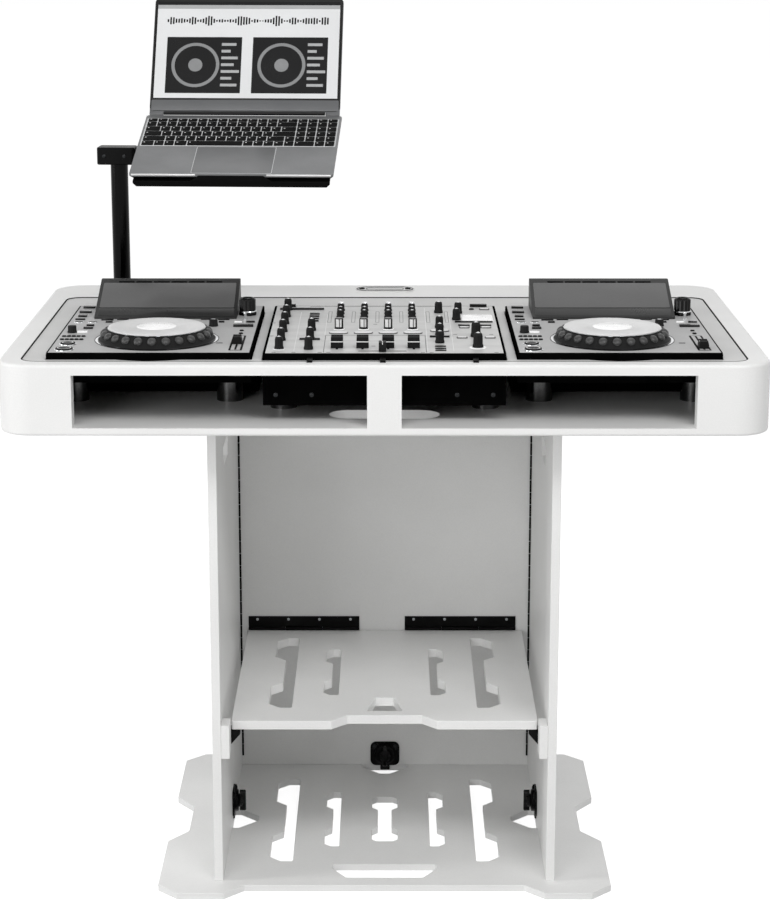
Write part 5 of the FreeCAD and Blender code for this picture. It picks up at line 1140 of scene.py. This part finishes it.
# The barrel lies along x: circles of radius r, given as (x, r).
barrel_x, barrel_r = np.array(((-147, 2.8), (-146.4, 3.3), (146.4, 3.3), (147, 2.8))).T[:, :, None]
angle = np.linspace(0.0, 2 * np.pi, BARREL_SIDES, endpoint=False)
barrel = skin(np.stack(np.broadcast_arrays(barrel_x, barrel_r * np.cos(angle), barrel_r * np.sin(angle)), -1))
dress("lid", "laptop_shell",
      ("laptop_lid_shell", silver_shell, on_lid(lid_shell, lid_middle), "laptop_lid"),
      ("laptop_bezel", bezel_plastic, on_lid(bezel, lid_middle)),
      ("laptop_chin", chin_shell, on_lid(chin, chin_middle)),
      # The barrel runs the lid's full width: a real hinge part that also paints the shade in the gaps at its
      # sides.
      ("laptop_hinge_barrel", bezel_plastic, on_lid(barrel, (0, 0, 0))),
      ("laptop_hinge_covers", chin_shell, on_lid(hinge_cover, hinge_places)))
print("lid shell: %d x %d mm" % (LID_WIDTH, LID_DEPTH))

# %% [markdown]
# ## Laptop screen
#
# The display shows a plain music page: a dark bar on top, a waveform and two panels with a wheel each. Each
# is a thin sheet in front of the last. The waveform is a row of bars whose heights follow sums of sines.

# %% Screen page
SCREEN_LEFT, SCREEN_WIDE, SCREEN_LOW, SCREEN_TALL = -168.0, 336.0, 30.0, 192.0
PAGE_UP, PANEL_UP, MARK_UP, WAVE_BARS = 0.30, 0.36, 0.42, 60
# Display behind coated glass: the page glows a little by itself, and the glass has a dull sheen.
page_light = grained("display_page_white", "#e6e7e8", "#dddedf", 120, 1, 0.002, (0.20, 0.28),
                     Emission_Color=linear("#ffffff"), Emission_Strength=0.05, Specular_IOR_Level=0.2)
page_dark = grained("display_panel_dark", "#101011", "#161617", 80, 1, 0.002, (0.20, 0.28),
                    Specular_IOR_Level=0.2)
page_wave = grained("display_wave_grey", "#8f9091", "#838485", 30, 1, 0.002, (0.20, 0.28))
page_rows = grained("display_rows_grey", "#b4b5b6", "#a9aaab", 60, 1, 0.002, (0.20, 0.28))


def sheets(rows, height, corner=0.6):
    """Thin sheets on the screen from rows of (left, low, width, tall), all shares of the screen."""
    return [copy for left, low, wide, tall in rows for copy in on_lid(
        moulded([(0, -0.05), (0, height)], wide * SCREEN_WIDE, tall * SCREEN_TALL, corner, 3),
        (SCREEN_LEFT + (left + wide / 2) * SCREEN_WIDE, SCREEN_LOW + (low + tall / 2) * SCREEN_TALL, 0))]


steps = np.linspace(0.0, 1.0, WAVE_BARS, endpoint=False)
swing = np.abs(np.sin(17.0 * steps) + 0.6 * np.sin(43.0 * steps + 0.7) + 0.3 * np.sin(91.0 * steps)) / 1.9
wave_rows = [(0.055 + 0.89 * u, 0.80 - 0.055 * h - 0.004, 0.009, 0.11 * h + 0.008)
             for u, h in zip(steps, swing)]
deck_rows = [(left + 0.30, 0.12 + 0.07 * k, wide, 0.028) for left in (0.06, 0.53)
             for k, wide in enumerate((0.09, 0.06, 0.10, 0.07, 0.09, 0.05, 0.08))]
panel_rows = [(0.0, 0.965, 1.0, 0.035), (0.06, 0.05, 0.41, 0.58), (0.53, 0.05, 0.41, 0.58)]
wheel = turned([(38, -0.05), (44, -0.05), (44, MARK_UP), (38, MARK_UP), (38, -0.05)], 64, closed=OPEN)
wheel_hub = turned([(13, -0.05), (13, MARK_UP), (4, MARK_UP)], 40)
wheel_spots = [(SCREEN_LEFT + share * SCREEN_WIDE, SCREEN_LOW + 0.34 * SCREEN_TALL, 0)
               for share in (0.22, 0.69)]
dress("lid", "laptop_display",
      ("laptop_page", page_light, sheets([(0.0, 0.0, 1.0, 1.0)], PAGE_UP), "laptop_screen"),
      ("laptop_page_panels", page_dark, sheets(panel_rows, PANEL_UP)),
      ("laptop_page_waves", page_dark, sheets(wave_rows, MARK_UP, 0.2)),
      ("laptop_page_wheels", page_wave, on_lid(wheel, wheel_spots) + on_lid(wheel_hub, wheel_spots)),
      ("laptop_page_rows", page_rows, sheets(deck_rows + [(0.0, 0.925, 1.0, 0.04)], MARK_UP)))
print("bars of the waveform:", len(wave_rows), "rows:", len(deck_rows))

# %% [markdown]
# ## Badge
#
# A plain oval plate on the back rim, held by two screws, with a raised dark border and an inner frame.

# %% Badge plate
SCREW_ACROSS, OVAL_CORNER, OVAL_STEPS = 43, 25, 16
badge_spot, (badge_wide, badge_deep, _) = seat("badge_plate")
oval = (badge_wide, badge_deep, OVAL_CORNER, OVAL_STEPS)
badge = moulded([(0, 0), (0, 1.6), (0.6, 2.2), (1.6, 2.3)], *oval)
badge_rim = moulded([(1.4, 2), (1.6, 3.1), (3.4, 3.1), (3.6, 2)], *oval, OPEN)
badge_panel = moulded([(0, 2), (0, 2.9), (1.4, 2.9), (1.4, 2)], 70, 22, 6, 8, OPEN)
badge_screw = turned([(5.2, 2), (5.2, 3.8), (4.2, 4.8), (2.2, 4.8), (1.8, 3.6)], 24)
screw_places = [badge_spot + (x, 0, 0) for x in (-SCREW_ACROSS, SCREW_ACROSS)]
dress("booth", "badge_plate",
      ("badge", badge_metal, placed(badge, badge_spot), "badge_plate"),
      ("badge_rim", dark_screw, placed(badge_rim, badge_spot)),
      ("badge_panel", dark_ink, placed(badge_panel, badge_spot)),
      ("badge_screws", gloss_black, placed(badge_screw, screw_places)))
print("badge: %.0f x %.0f mm" % (badge_wide, badge_deep))
